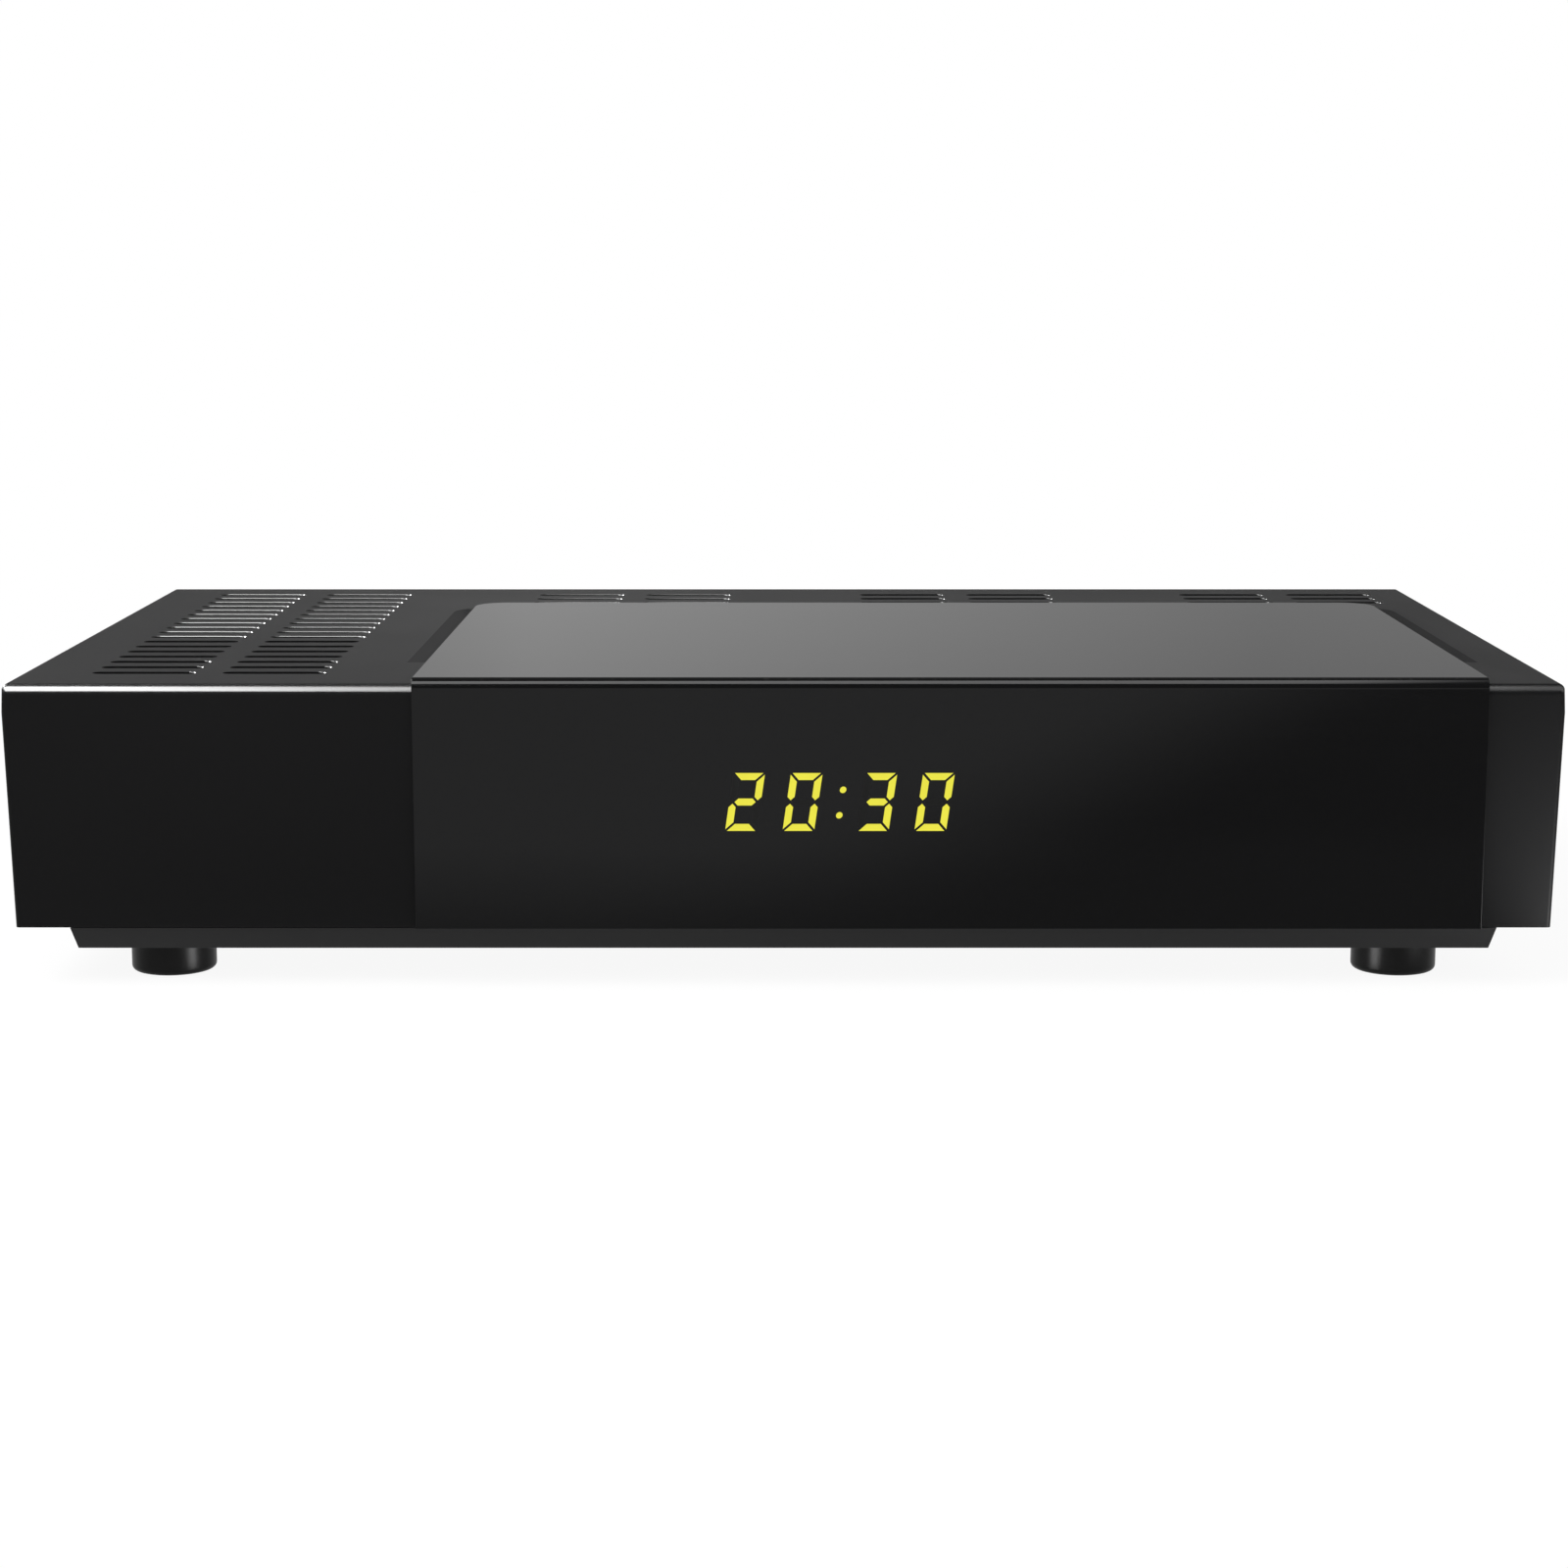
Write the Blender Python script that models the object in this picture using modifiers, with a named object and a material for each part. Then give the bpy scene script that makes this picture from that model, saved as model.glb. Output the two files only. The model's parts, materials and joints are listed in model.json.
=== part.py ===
"""A compact satellite television receiver, about 220 mm wide.

Sizes are in metres. +X is to the right of someone facing the display, +Y runs from the display to
the sockets and +Z is up. The origin lies under the middle of the whole part, on its resting plane.
A moulded cover sits over a moulded tray, a smoked acrylic fascia wraps from the front onto the top,
and a steel panel closes the back, where the sockets of one circuit board come through.
"""

import math

import bmesh
import bpy
from mathutils import Vector
from mathutils.geometry import interpolate_bezier

# Fits and cutting
GAP = 0.0003
OVERRUN = 0.0010
WELD = 0.000002

# Cover: the upper shell of the case
CASE_WIDTH = 0.2200
CASE_DEPTH = 0.1270
COVER_HEIGHT = 0.0348
WALL = 0.0020
FRONT_WALL = 0.0024
SIDE_DRAFT = 0.0009
SHOULDER_DROP = 0.0040
TOP_TUCK = 0.0002
FRONT_EDGE_RADIUS = 0.0015
SIDE_EDGE_SHARE = 0.45
BOSS_RADIUS = 0.0029
LUG_SIZE = 0.0070
LUG_PLACE_SHARE = 0.268

# Fascia: the smoked panel, and the seat and side channels that the cover has for it
FASCIA_LEFT_MARGIN = 0.0579
FASCIA_RIGHT_MARGIN = 0.01105
FASCIA_REACH = 0.0962
FASCIA_PROUD = 0.0010
FASCIA_SEAT = 0.0010
FASCIA_CORNER = 0.0053
CHANNEL_WIDTH = 0.0040
CHANNEL_START = 0.0250
CHANNEL_SLANT = 0.0005
CHANNEL_END_ROOM = 0.0006

# Vents in the cover
SLOT_LENGTH = 0.01475
SLOT_WIDTH = 0.0023
SLOT_BRIDGE = 0.00402
SLOT_PITCH = 0.00616
FIRST_SLOT = 0.0128
REAR_SLOT_MARGIN = 0.0080
VENT_GROUPS = 4
LEFT_GROUP_SHARE = 0.468
RIGHT_GROUP_SHARE = 0.1087
SLOT_CLEAR = 0.0030

# Tray: the lower shell of the case, with its skirt
SKIRT_HEIGHT = 0.0031
SKIRT_SIDE_INSET = 0.0084
SKIRT_END_INSET = 0.0011
SKIRT_SLOPE = 0.0009
FLANGE_THICKNESS = 0.0025
FLANGE_LAP = 0.0002
SCREW_PAD_RADIUS = 0.0034
SCREW_PAD_HEIGHT = 0.0032
FRONT_SCREW_INSET = 0.0140
REAR_SCREW_INSET = 0.0300

# Feet
FOOT_HEIGHT = 0.0051
FOOT_RADIUS = 0.0061
FOOT_SEAT = 0.0008
FOOT_CHAMFER = 0.0005
FOOT_SIDE_INSET = 0.0210
FOOT_END_INSET = 0.0120

# Rear panel
PANEL_THICKNESS = 0.0010
PANEL_RECESS = 0.0004

# Screws
SHANK_RADIUS = 0.00125
HEAD_RADIUS = 0.0023
HEAD_HEIGHT = 0.0013
SHORT_SCREW = 0.0052
LONG_SCREW = 0.0080
CROSS_SLOT_WIDTH = 0.0007
HEAD_PROFILE_SHARES = [(0.0, 1.0), (0.72, 0.82), (1.0, 0.25), (1.0, 0.0)]

# Circuit board
BOARD_THICKNESS = 0.0016
BOARD_LIFT = 0.0040
BOARD_SIDE_ROOM = 0.0010
BOARD_FRONT_ROOM = 0.0200
BOARD_REAR_ROOM = 0.0006
STANDOFF_RADIUS = 0.0030
BOARD_SCREW_INSET = 0.0060

# Front board, display and what is beside it
FRONT_BOARD_HEIGHT = 0.0285
FRONT_BOARD_MARGIN = 0.0220
RAIL_WIDTH = 0.0040
RAIL_HEIGHT = 0.0060
RAIL_FLOOR = 0.0020
RAIL_WALL = 0.0016
DISPLAY_DEPTH = 0.0072
DISPLAY_BORDER = 0.0040
DIGIT_HEIGHT = 0.00868
DIGIT_WIDTH = 0.00446
DIGIT_SLANT_SHARE = 0.138
SEGMENT_WIDTH = 0.00118
SEGMENT_BREAK = 0.00022
SEGMENT_RELIEF = 0.0001
DIGIT_PITCH = 0.0081
COLON_PITCH = 0.0105
DISPLAY_LEFT = -0.0082
DISPLAY_BASE = 0.0225
DOT_RADIUS = 0.0005
DOT_HEIGHT_SHARES = [0.27, 0.71]
SENSOR_PLACE = 0.0420
SENSOR_SIZE = 0.0060
SENSOR_LENS_RADIUS = 0.0022
LAMP_PLACE = 0.0520
LAMP_RADIUS = 0.0015
LAMP_RIM = 0.0004
LAMP_RIM_THICKNESS = 0.0010
LENS_SINK = 0.0002

# Ribbon cable
RIBBON_WIDTH = 0.0120
RIBBON_THICKNESS = 0.0008
RIBBON_PLACE_SHARE = 0.18
RIBBON_DROP = 0.0110
RIBBON_FOOT = 0.0050

# Row of sockets at the back
ROW_MARGIN = 0.0018
SOCKET_LIP = 0.0006

# Rocker switch
BEZEL_WIDTH = 0.0116
BEZEL_HEIGHT = 0.0166
BEZEL_THICKNESS = 0.0016
SWITCH_DEPTH = 0.0120
SWITCH_WALL = 0.0008
ROCKER_WIDTH = 0.0066
ROCKER_REACH = 0.0056
ROCKER_RISE = 0.0026
ROCKER_DIP = 0.0009
ROCKER_BACK_REACH = 0.0044
ROCKER_BACK = 0.0020
ROCKER_PIN_RADIUS = 0.0008
ROCKER_PIN_REACH = 0.0008
ROCKER_SWING = 20.0
LEAD_RADIUS = 0.0008
LEAD_BEND = 0.0070
LEAD_LANDING_SHARES = {"a": 2.5, "b": 1.5}

# Power socket
POWER_WIDTH = 0.0090
POWER_HEIGHT = 0.0110
POWER_DEPTH = 0.0130
POWER_NOSE_RADIUS = 0.0042
POWER_BORE_RADIUS = 0.00315
POWER_BORE_DEPTH = 0.0100
POWER_PIN_RADIUS = 0.00105

# Audio and video socket with two rows of contacts
SCART_WIDTH = 0.0470
SCART_HEIGHT = 0.0180
SCART_DEPTH = 0.0130
SCART_RIM_WIDTH = 0.0448
SCART_RIM_HEIGHT = 0.0132
SCART_RIM_WALL = 0.0009
SCART_BORE_DEPTH = 0.0090
SCART_SIDE_ROOM = 0.0015
SCART_END_ROOM = 0.0024
SCART_CONTACT_PITCH = 0.0038
SCART_CONTACT_WIDTH = 0.0010
SCART_CONTACT_HEIGHT = 0.0024
SCART_CONTACT_DEPTH = 0.0015

# Round audio sockets
PHONO_WIDTH = 0.0095
PHONO_HEIGHT = 0.0130
PHONO_DEPTH = 0.0090
PHONO_RING_RADIUS = 0.00415
PHONO_RING_WALL = 0.0006
PHONO_REACH = 0.0085
PHONO_HOLE_RADIUS = 0.0016
PHONO_HOLE_DEPTH = 0.0070

# Small round socket for a remote sensor
REMOTE_SIZE = 0.0064
REMOTE_DEPTH = 0.0110
REMOTE_NOSE_RADIUS = 0.0029
REMOTE_BORE_RADIUS = 0.0018
REMOTE_BORE_DEPTH = 0.0090

# Flat sockets
USB_WIDTH = 0.0132
USB_HEIGHT = 0.0062
USB_DEPTH = 0.0140
USB_TONGUE_WIDTH = 0.0110
USB_TONGUE_THICKNESS = 0.0018
HDMI_WIDTH = 0.0150
HDMI_HEIGHT = 0.0060
HDMI_DEPTH = 0.0120
HDMI_CORNER = 0.0016
HDMI_TONGUE_WIDTH = 0.0108
HDMI_TONGUE_THICKNESS = 0.0012
FLAT_SOCKET_WALL = 0.0005
TONGUE_LENGTH_SHARE = 0.70

# Tuner and aerial sockets
TUNER_BAY_WIDTH = 0.0135
TUNER_DEPTH = 0.0320
TUNER_HEIGHT = 0.0130
TUNER_WALL = 0.0006
TUNER_LID_THICKNESS = 0.0005
AERIAL_RADIUS = 0.0047
AERIAL_REACH = 0.0104
AERIAL_BORE_RADIUS = 0.0036
AERIAL_BORE_DEPTH = 0.0080
AERIAL_HOLE_RADIUS = 0.0007
AERIAL_INSERT_SINK = 0.0006
NUT_RADIUS = 0.00635
NUT_THICKNESS = 0.0021
NUT_SIDES = 6

# Chips, heat sink and power parts on the board
PROCESSOR_SIZE = 0.0190
CHIP_HEIGHT = 0.0015
SINK_SIZE = 0.0260
SINK_BASE = 0.0020
FIN_HEIGHT = 0.0070
FIN_COUNT = 7
FIN_THICKNESS_SHARE = 0.30
MEMORY_SIZE = (0.0130, 0.0085)
FLASH_SIZE = (0.0080, 0.0060)
CHIP_SPACE = 0.0030
CAPACITOR_RADIUS = 0.0042
CAPACITOR_HEIGHT = 0.0120
CAPACITOR_CHAMFER = 0.0005
COIL_SIZE = 0.0100
COIL_HEIGHT = 0.0048
COIL_CORNER = 0.0015
BOARD_PLACE_SHARES = {
    "processor": (0.06, 0.50),
    "coil": (-0.52, 0.40),
    "capacitor_1": (-0.70, 0.56),
    "capacitor_2": (-0.70, 0.40),
    "capacitor_3": (-0.34, 0.40),
}

# How finely round shapes are divided
ROUND_SIDES = 24
SMALL_SIDES = 16
SCREW_SIDES = 12
SLOT_END_SIDES = 5
CORNER_SIDES = 4
TUBE_POINTS = 10
SHARP_ANGLE = math.radians(35)
FLAT_ANGLE = math.radians(0.5)

# Colours
BLACK_ABS = (0.012, 0.012, 0.013)
BLACK_NYLON = (0.018, 0.018, 0.019)
SMOKED_ACRYLIC = (0.006, 0.006, 0.007)
BLACK_RUBBER = (0.014, 0.014, 0.014)
PANEL_PAINT = (0.020, 0.020, 0.021)
STEEL = (0.55, 0.55, 0.56)
TINPLATE = (0.62, 0.62, 0.60)
NICKEL = (0.66, 0.64, 0.60)
ZINC = (0.60, 0.61, 0.62)
BOARD_GREEN = (0.015, 0.105, 0.045)
CHIP_EPOXY = (0.016, 0.016, 0.017)
ALUMINIUM = (0.70, 0.71, 0.72)
DISPLAY_GREY = (0.030, 0.030, 0.030)
SENSOR_EPOXY = (0.020, 0.010, 0.018)
LAMP_EPOXY = (0.45, 0.05, 0.04)
RIBBON_GREY = (0.50, 0.50, 0.48)
LEAD_RED = (0.45, 0.03, 0.02)
PTFE_WHITE = (0.80, 0.80, 0.78)
SOCKET_ORANGE = (0.75, 0.25, 0.02)
SOCKET_WHITE = (0.78, 0.78, 0.76)
SOCKET_RED = (0.55, 0.03, 0.03)
SLEEVE_BLUE = (0.03, 0.05, 0.16)

# The planes that pieces line up with, front to back
AERIAL_TAIL = AERIAL_REACH - PANEL_RECESS
FRONT_Y = FASCIA_PROUD - (FASCIA_PROUD + CASE_DEPTH + AERIAL_TAIL) / 2
REAR_Y = FRONT_Y + CASE_DEPTH
PANEL_OUT_Y = REAR_Y - PANEL_RECESS
PANEL_IN_Y = PANEL_OUT_Y - PANEL_THICKNESS
FASCIA_BACK_Y = FRONT_Y + FASCIA_REACH
FASCIA_THICKNESS = FASCIA_PROUD + FASCIA_SEAT - GAP
DISPLAY_FACE_Y = FRONT_Y + FASCIA_SEAT
FRONT_BOARD_Y = DISPLAY_FACE_Y + DISPLAY_DEPTH + GAP
BOARD_FRONT_Y = FRONT_Y + BOARD_FRONT_ROOM
BOARD_REAR_Y = PANEL_IN_Y - BOARD_REAR_ROOM

# The planes that pieces line up with, from the ground up
SKIRT_TOP_Z = FOOT_HEIGHT + SKIRT_HEIGHT
FLANGE_Z = SKIRT_TOP_Z - FLANGE_LAP
COVER_Z = SKIRT_TOP_Z + GAP
TOP_Z = COVER_Z + COVER_HEIGHT
CEILING_Z = TOP_Z - WALL
FLOOR_Z = FOOT_HEIGHT + WALL
FLANGE_TOP_Z = FLANGE_Z + FLANGE_THICKNESS
PANEL_Z = FLANGE_TOP_Z + GAP
PANEL_TOP_Z = CEILING_Z - GAP
BOARD_Z = FLOOR_Z + BOARD_LIFT + GAP
BOARD_TOP_Z = BOARD_Z + BOARD_THICKNESS
SEAT_Z = BOARD_TOP_Z + GAP
TUNER_AXIS_Z = SEAT_Z + TUNER_HEIGHT / 2
SENSOR_Z = DISPLAY_BASE + DIGIT_HEIGHT / 2
LUG_AXIS_Z = CEILING_Z - LUG_SIZE / 2

# Places across the width
HALF_WIDTH = CASE_WIDTH / 2
HALF_FOOTPRINT = HALF_WIDTH - SIDE_DRAFT
FLANGE_HALF = HALF_FOOTPRINT - WALL - GAP
FASCIA_LEFT = -HALF_WIDTH + FASCIA_LEFT_MARGIN
FASCIA_RIGHT = HALF_WIDTH - FASCIA_RIGHT_MARGIN
SCREW_X = FLANGE_HALF - SCREW_PAD_RADIUS
BOARD_HALF = SCREW_X - SCREW_PAD_RADIUS - BOARD_SIDE_ROOM
LUG_X = CASE_WIDTH * LUG_PLACE_SHARE
HOLE_RADIUS = SHANK_RADIUS + GAP

UPRIGHT = (0, 0, 0)
REARWARD = (-math.pi / 2, 0, 0)
FORWARD = (math.pi / 2, 0, 0)
SIDEWAYS = (math.pi / 2, 0, math.pi / 2)
PLANES = {"top": (UPRIGHT, "z"), "front": (FORWARD, "y"), "side": (SIDEWAYS, "x")}


# Scene and materials

def clear_scene():
    for obj in list(bpy.data.objects):
        bpy.data.objects.remove(obj, do_unlink=True)


def new_collection(name):
    collection = bpy.data.collections.new(name)
    bpy.context.scene.collection.children.link(collection)
    return collection


clear_scene()
PARTS = new_collection("satellite_receiver")
CUTTERS = new_collection("cutters")


def paint(obj, colour, roughness, metallic=0.0):
    material = bpy.data.materials.new(obj.name + "_finish")
    material.use_nodes = True
    shader = material.node_tree.nodes["Principled BSDF"]
    shader.inputs["Base Color"].default_value = (*colour, 1.0)
    shader.inputs["Roughness"].default_value = roughness
    shader.inputs["Metallic"].default_value = metallic
    material.diffuse_color = (*colour, 1.0)
    obj.data.materials.append(material)
    return obj


# Shapes

def place(name, mesh, location=(0, 0, 0), rotation=UPRIGHT):
    obj = bpy.data.objects.new(name, mesh)
    obj.location = location
    obj.rotation_euler = rotation
    PARTS.objects.link(obj)
    return obj


def evaluated_mesh(obj):
    bpy.context.view_layer.update()
    graph = bpy.context.evaluated_depsgraph_get()
    return bpy.data.meshes.new_from_object(obj.evaluated_get(graph))


def shade_round(mesh):
    mesh.shade_smooth()
    mesh.set_sharp_from_angle(angle=SHARP_ANGLE)


def box(name, low, high):
    """A rectangular block between two corners, with its origin at its middle."""
    low = Vector(low)
    high = Vector(high)
    bm = bmesh.new()
    bmesh.ops.create_cube(bm, size=1)
    bmesh.ops.scale(bm, vec=high - low, verts=bm.verts)
    mesh = bpy.data.meshes.new(name)
    bm.to_mesh(mesh)
    bm.free()
    return place(name, mesh, (low + high) / 2)


def rod(name, radius, length, base, rotation=UPRIGHT, sides=ROUND_SIDES):
    """A cylinder that starts at its base and runs along its own Z axis."""
    bm = bmesh.new()
    bmesh.ops.create_cone(bm, cap_ends=True, segments=sides, radius1=radius, radius2=radius, depth=length)
    bmesh.ops.translate(bm, vec=(0, 0, length / 2), verts=bm.verts)
    mesh = bpy.data.meshes.new(name)
    bm.to_mesh(mesh)
    bm.free()
    shade_round(mesh)
    return place(name, mesh, base, rotation)


def turned(name, profile, base, rotation=UPRIGHT, sides=ROUND_SIDES):
    """A turned piece: (radius, height) points that run from the top of its axis down its outer side."""
    mesh = bpy.data.meshes.new(name)
    points = [(radius, 0, height) for radius, height in profile]
    mesh.from_pydata(points, [(i, i + 1) for i in range(len(points) - 1)], [])
    obj = place(name, mesh, base, rotation)
    screw = obj.modifiers.new("turn", "SCREW")
    screw.steps = sides
    screw.render_steps = sides
    screw.use_merge_vertices = True
    screw.merge_threshold = WELD
    solid = evaluated_mesh(obj)
    obj.modifiers.clear()
    obj.data = solid
    bm = bmesh.new()
    bm.from_mesh(solid)
    bmesh.ops.recalc_face_normals(bm, faces=bm.faces)
    bm.to_mesh(solid)
    bm.free()
    shade_round(solid)
    return obj


def outlined(name, loops, low, high, plane):
    """A flat outline, with any holes as further loops, made solid from low to high along the third axis."""
    rotation, axis = PLANES[plane]
    curve = bpy.data.curves.new(name, "CURVE")
    curve.dimensions = "2D"
    curve.fill_mode = "BOTH"
    curve.extrude = (high - low) / 2
    for loop in loops:
        spline = curve.splines.new("POLY")
        spline.points.add(len(loop) - 1)
        for point, (across, along) in zip(spline.points, loop):
            point.co = (across, along, 0, 1)
        spline.use_cyclic_u = True
    guide = place(name + "_outline", curve, rotation=rotation)
    setattr(guide.location, axis, (low + high) / 2)
    mesh = evaluated_mesh(guide)
    bm = bmesh.new()
    bm.from_mesh(mesh)
    bmesh.ops.remove_doubles(bm, verts=bm.verts, dist=WELD)
    if len(loops) == 1:
        bmesh.ops.dissolve_limit(bm, angle_limit=FLAT_ANGLE, verts=bm.verts, edges=bm.edges)
    bmesh.ops.recalc_face_normals(bm, faces=bm.faces)
    bm.to_mesh(mesh)
    bm.free()
    obj = place(name, mesh)
    obj.matrix_world = guide.matrix_world.copy()
    bpy.data.objects.remove(guide, do_unlink=True)
    return obj


def tube(name, start, leave, arrive, end, radius):
    """A thin round lead with filled ends. It leaves towards one guide point and arrives from another."""
    curve = bpy.data.curves.new(name, "CURVE")
    curve.dimensions = "3D"
    curve.bevel_depth = radius
    curve.bevel_resolution = 1
    curve.use_fill_caps = True
    points = interpolate_bezier(start, leave, arrive, end, TUBE_POINTS)
    spline = curve.splines.new("POLY")
    spline.points.add(len(points) - 1)
    for point, at in zip(spline.points, points):
        point.co = (*at, 1)
    return place(name, curve)


def as_cutter(obj):
    PARTS.objects.unlink(obj)
    CUTTERS.objects.link(obj)
    obj.hide_render = True
    obj.display_type = "WIRE"


def combine(target, tool, operation):
    as_cutter(tool)
    modifier = target.modifiers.new(tool.name, "BOOLEAN")
    modifier.operation = operation
    modifier.object = tool
    modifier.solver = "EXACT"


def cut(target, *tools):
    for tool in tools:
        combine(target, tool, "DIFFERENCE")


def fuse(target, *tools):
    for tool in tools:
        combine(target, tool, "UNION")


def gathered(name, pieces):
    """Like pieces that lie apart, as the bodies of one tool."""
    bm = bmesh.new()
    for piece in pieces:
        mesh = evaluated_mesh(piece)
        mesh.transform(piece.matrix_world)
        bm.from_mesh(mesh)
    for piece in pieces:
        bpy.data.objects.remove(piece, do_unlink=True)
    mesh = bpy.data.meshes.new(name)
    bm.to_mesh(mesh)
    bm.free()
    return place(name, mesh)


def settled(obj):
    """The object's finished mesh, for copies that share it. The object and its tools are removed."""
    mesh = evaluated_mesh(obj)
    shade_round(mesh)
    tools = [modifier.object for modifier in obj.modifiers if modifier.type == "BOOLEAN"]
    for helper in [obj, *tools]:
        bpy.data.objects.remove(helper, do_unlink=True)
    return mesh


def rectangle(across, along, width, height):
    half_width = width / 2
    half_height = height / 2
    return [
        (across - half_width, along - half_height),
        (across + half_width, along - half_height),
        (across + half_width, along + half_height),
        (across - half_width, along + half_height),
    ]


def arc(across, along, radius, start, end, sides):
    """Points on an arc, with both of its ends. Angles are in degrees."""
    points = []
    for step in range(sides + 1):
        angle = math.radians(start + (end - start) * step / sides)
        points.append((across + radius * math.cos(angle), along + radius * math.sin(angle)))
    return points


def circle(across, along, radius, sides=ROUND_SIDES):
    return arc(across, along, radius, 0, 360, sides)[:-1]


def capsule(across, along, length, width):
    reach = (length - width) / 2
    right = arc(across + reach, along, width / 2, -90, 90, SLOT_END_SIDES)
    left = arc(across - reach, along, width / 2, 90, 270, SLOT_END_SIDES)
    return right + left


def both_sides(x):
    return (-x, x)


# Cover

def cover_section(inset, foot_z):
    """The case seen from the front: a slight draft below the shoulder and a tucked-in top."""
    foot = HALF_FOOTPRINT - inset
    shoulder = HALF_WIDTH - inset
    top = HALF_WIDTH - TOP_TUCK - inset
    right = [(foot, foot_z), (shoulder, TOP_Z - SHOULDER_DROP), (top, TOP_Z - inset)]
    left = [(-x, z) for x, z in reversed(right)]
    return right + left


def weigh_cover_edges(cover):
    """Bevel weights: the front top edge is the roundest, and the side edges are about half as round."""
    bm = bmesh.new()
    bm.from_mesh(cover.data)
    weights = bm.edges.layers.float.new("bevel_weight_edge")
    for edge in bm.edges:
        ends = [cover.matrix_world @ vert.co for vert in edge.verts]
        in_front = all(abs(end.y - FRONT_Y) < WELD for end in ends)
        on_top = all(abs(end.z - TOP_Z) < WELD for end in ends)
        at_foot = all(abs(end.z - COVER_Z) < WELD for end in ends)
        along_case = abs(ends[0].y - ends[1].y) > WELD
        if in_front and on_top:
            edge[weights] = 1
        elif (in_front and not at_foot) or (on_top and along_case):
            edge[weights] = SIDE_EDGE_SHARE
    bm.to_mesh(cover.data)
    bm.free()


def channel_outline():
    """The fascia's seat in the top of the cover, which widens into a channel beside it towards the back."""
    left = FASCIA_LEFT - GAP
    right = FASCIA_RIGHT + GAP
    wide_left = FASCIA_LEFT - CHANNEL_WIDTH
    wide_right = FASCIA_RIGHT + CHANNEL_WIDTH
    front = FRONT_Y - OVERRUN
    start = FRONT_Y + CHANNEL_START
    back = FASCIA_BACK_Y + CHANNEL_END_ROOM
    corner = FASCIA_CORNER + CHANNEL_END_ROOM
    points = [(left, front), (right, front), (right, start), (wide_right, start + CHANNEL_SLANT)]
    points += arc(wide_right - corner, back - corner, corner, 0, 90, CORNER_SIDES)
    points += arc(wide_left + corner, back - corner, corner, 90, 180, CORNER_SIDES)
    points += [(wide_left, start + CHANNEL_SLANT), (left, start)]
    return points


def slot_places():
    """Middles of the vent slots. The left group fills the depth, and the others lie behind the fascia."""
    first = -HALF_WIDTH + FASCIA_LEFT_MARGIN * LEFT_GROUP_SHARE
    last = HALF_WIDTH - CASE_WIDTH * RIGHT_GROUP_SHARE
    offset = (SLOT_LENGTH + SLOT_BRIDGE) / 2
    rows = 1 + int((CASE_DEPTH - REAR_SLOT_MARGIN - FIRST_SLOT) / SLOT_PITCH)
    behind_fascia = FASCIA_REACH + CHANNEL_END_ROOM + SLOT_CLEAR + SLOT_WIDTH / 2
    places = []
    for group in range(VENT_GROUPS):
        middle = first + (last - first) * group / (VENT_GROUPS - 1)
        for row in range(rows):
            depth = FIRST_SLOT + row * SLOT_PITCH
            if group > 0 and depth < behind_fascia:
                continue
            places.append((middle - offset, FRONT_Y + depth))
            places.append((middle + offset, FRONT_Y + depth))
    return places


def screw_places():
    """The four case screws, outside the board: (x, y)."""
    depths = (FRONT_Y + FRONT_SCREW_INSET, REAR_Y - REAR_SCREW_INSET)
    return [(x, y) for y in depths for x in both_sides(SCREW_X)]


def display_width():
    return DIGIT_PITCH * 2 + COLON_PITCH + DIGIT_WIDTH + DIGIT_HEIGHT * DIGIT_SLANT_SHARE


def display_box():
    """Low and high corners of the display module in X and Z."""
    low = (DISPLAY_LEFT - DISPLAY_BORDER, DISPLAY_BASE - DISPLAY_BORDER)
    high = (DISPLAY_LEFT + display_width() + DISPLAY_BORDER, DISPLAY_BASE + DIGIT_HEIGHT + DISPLAY_BORDER)
    return low, high


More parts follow.
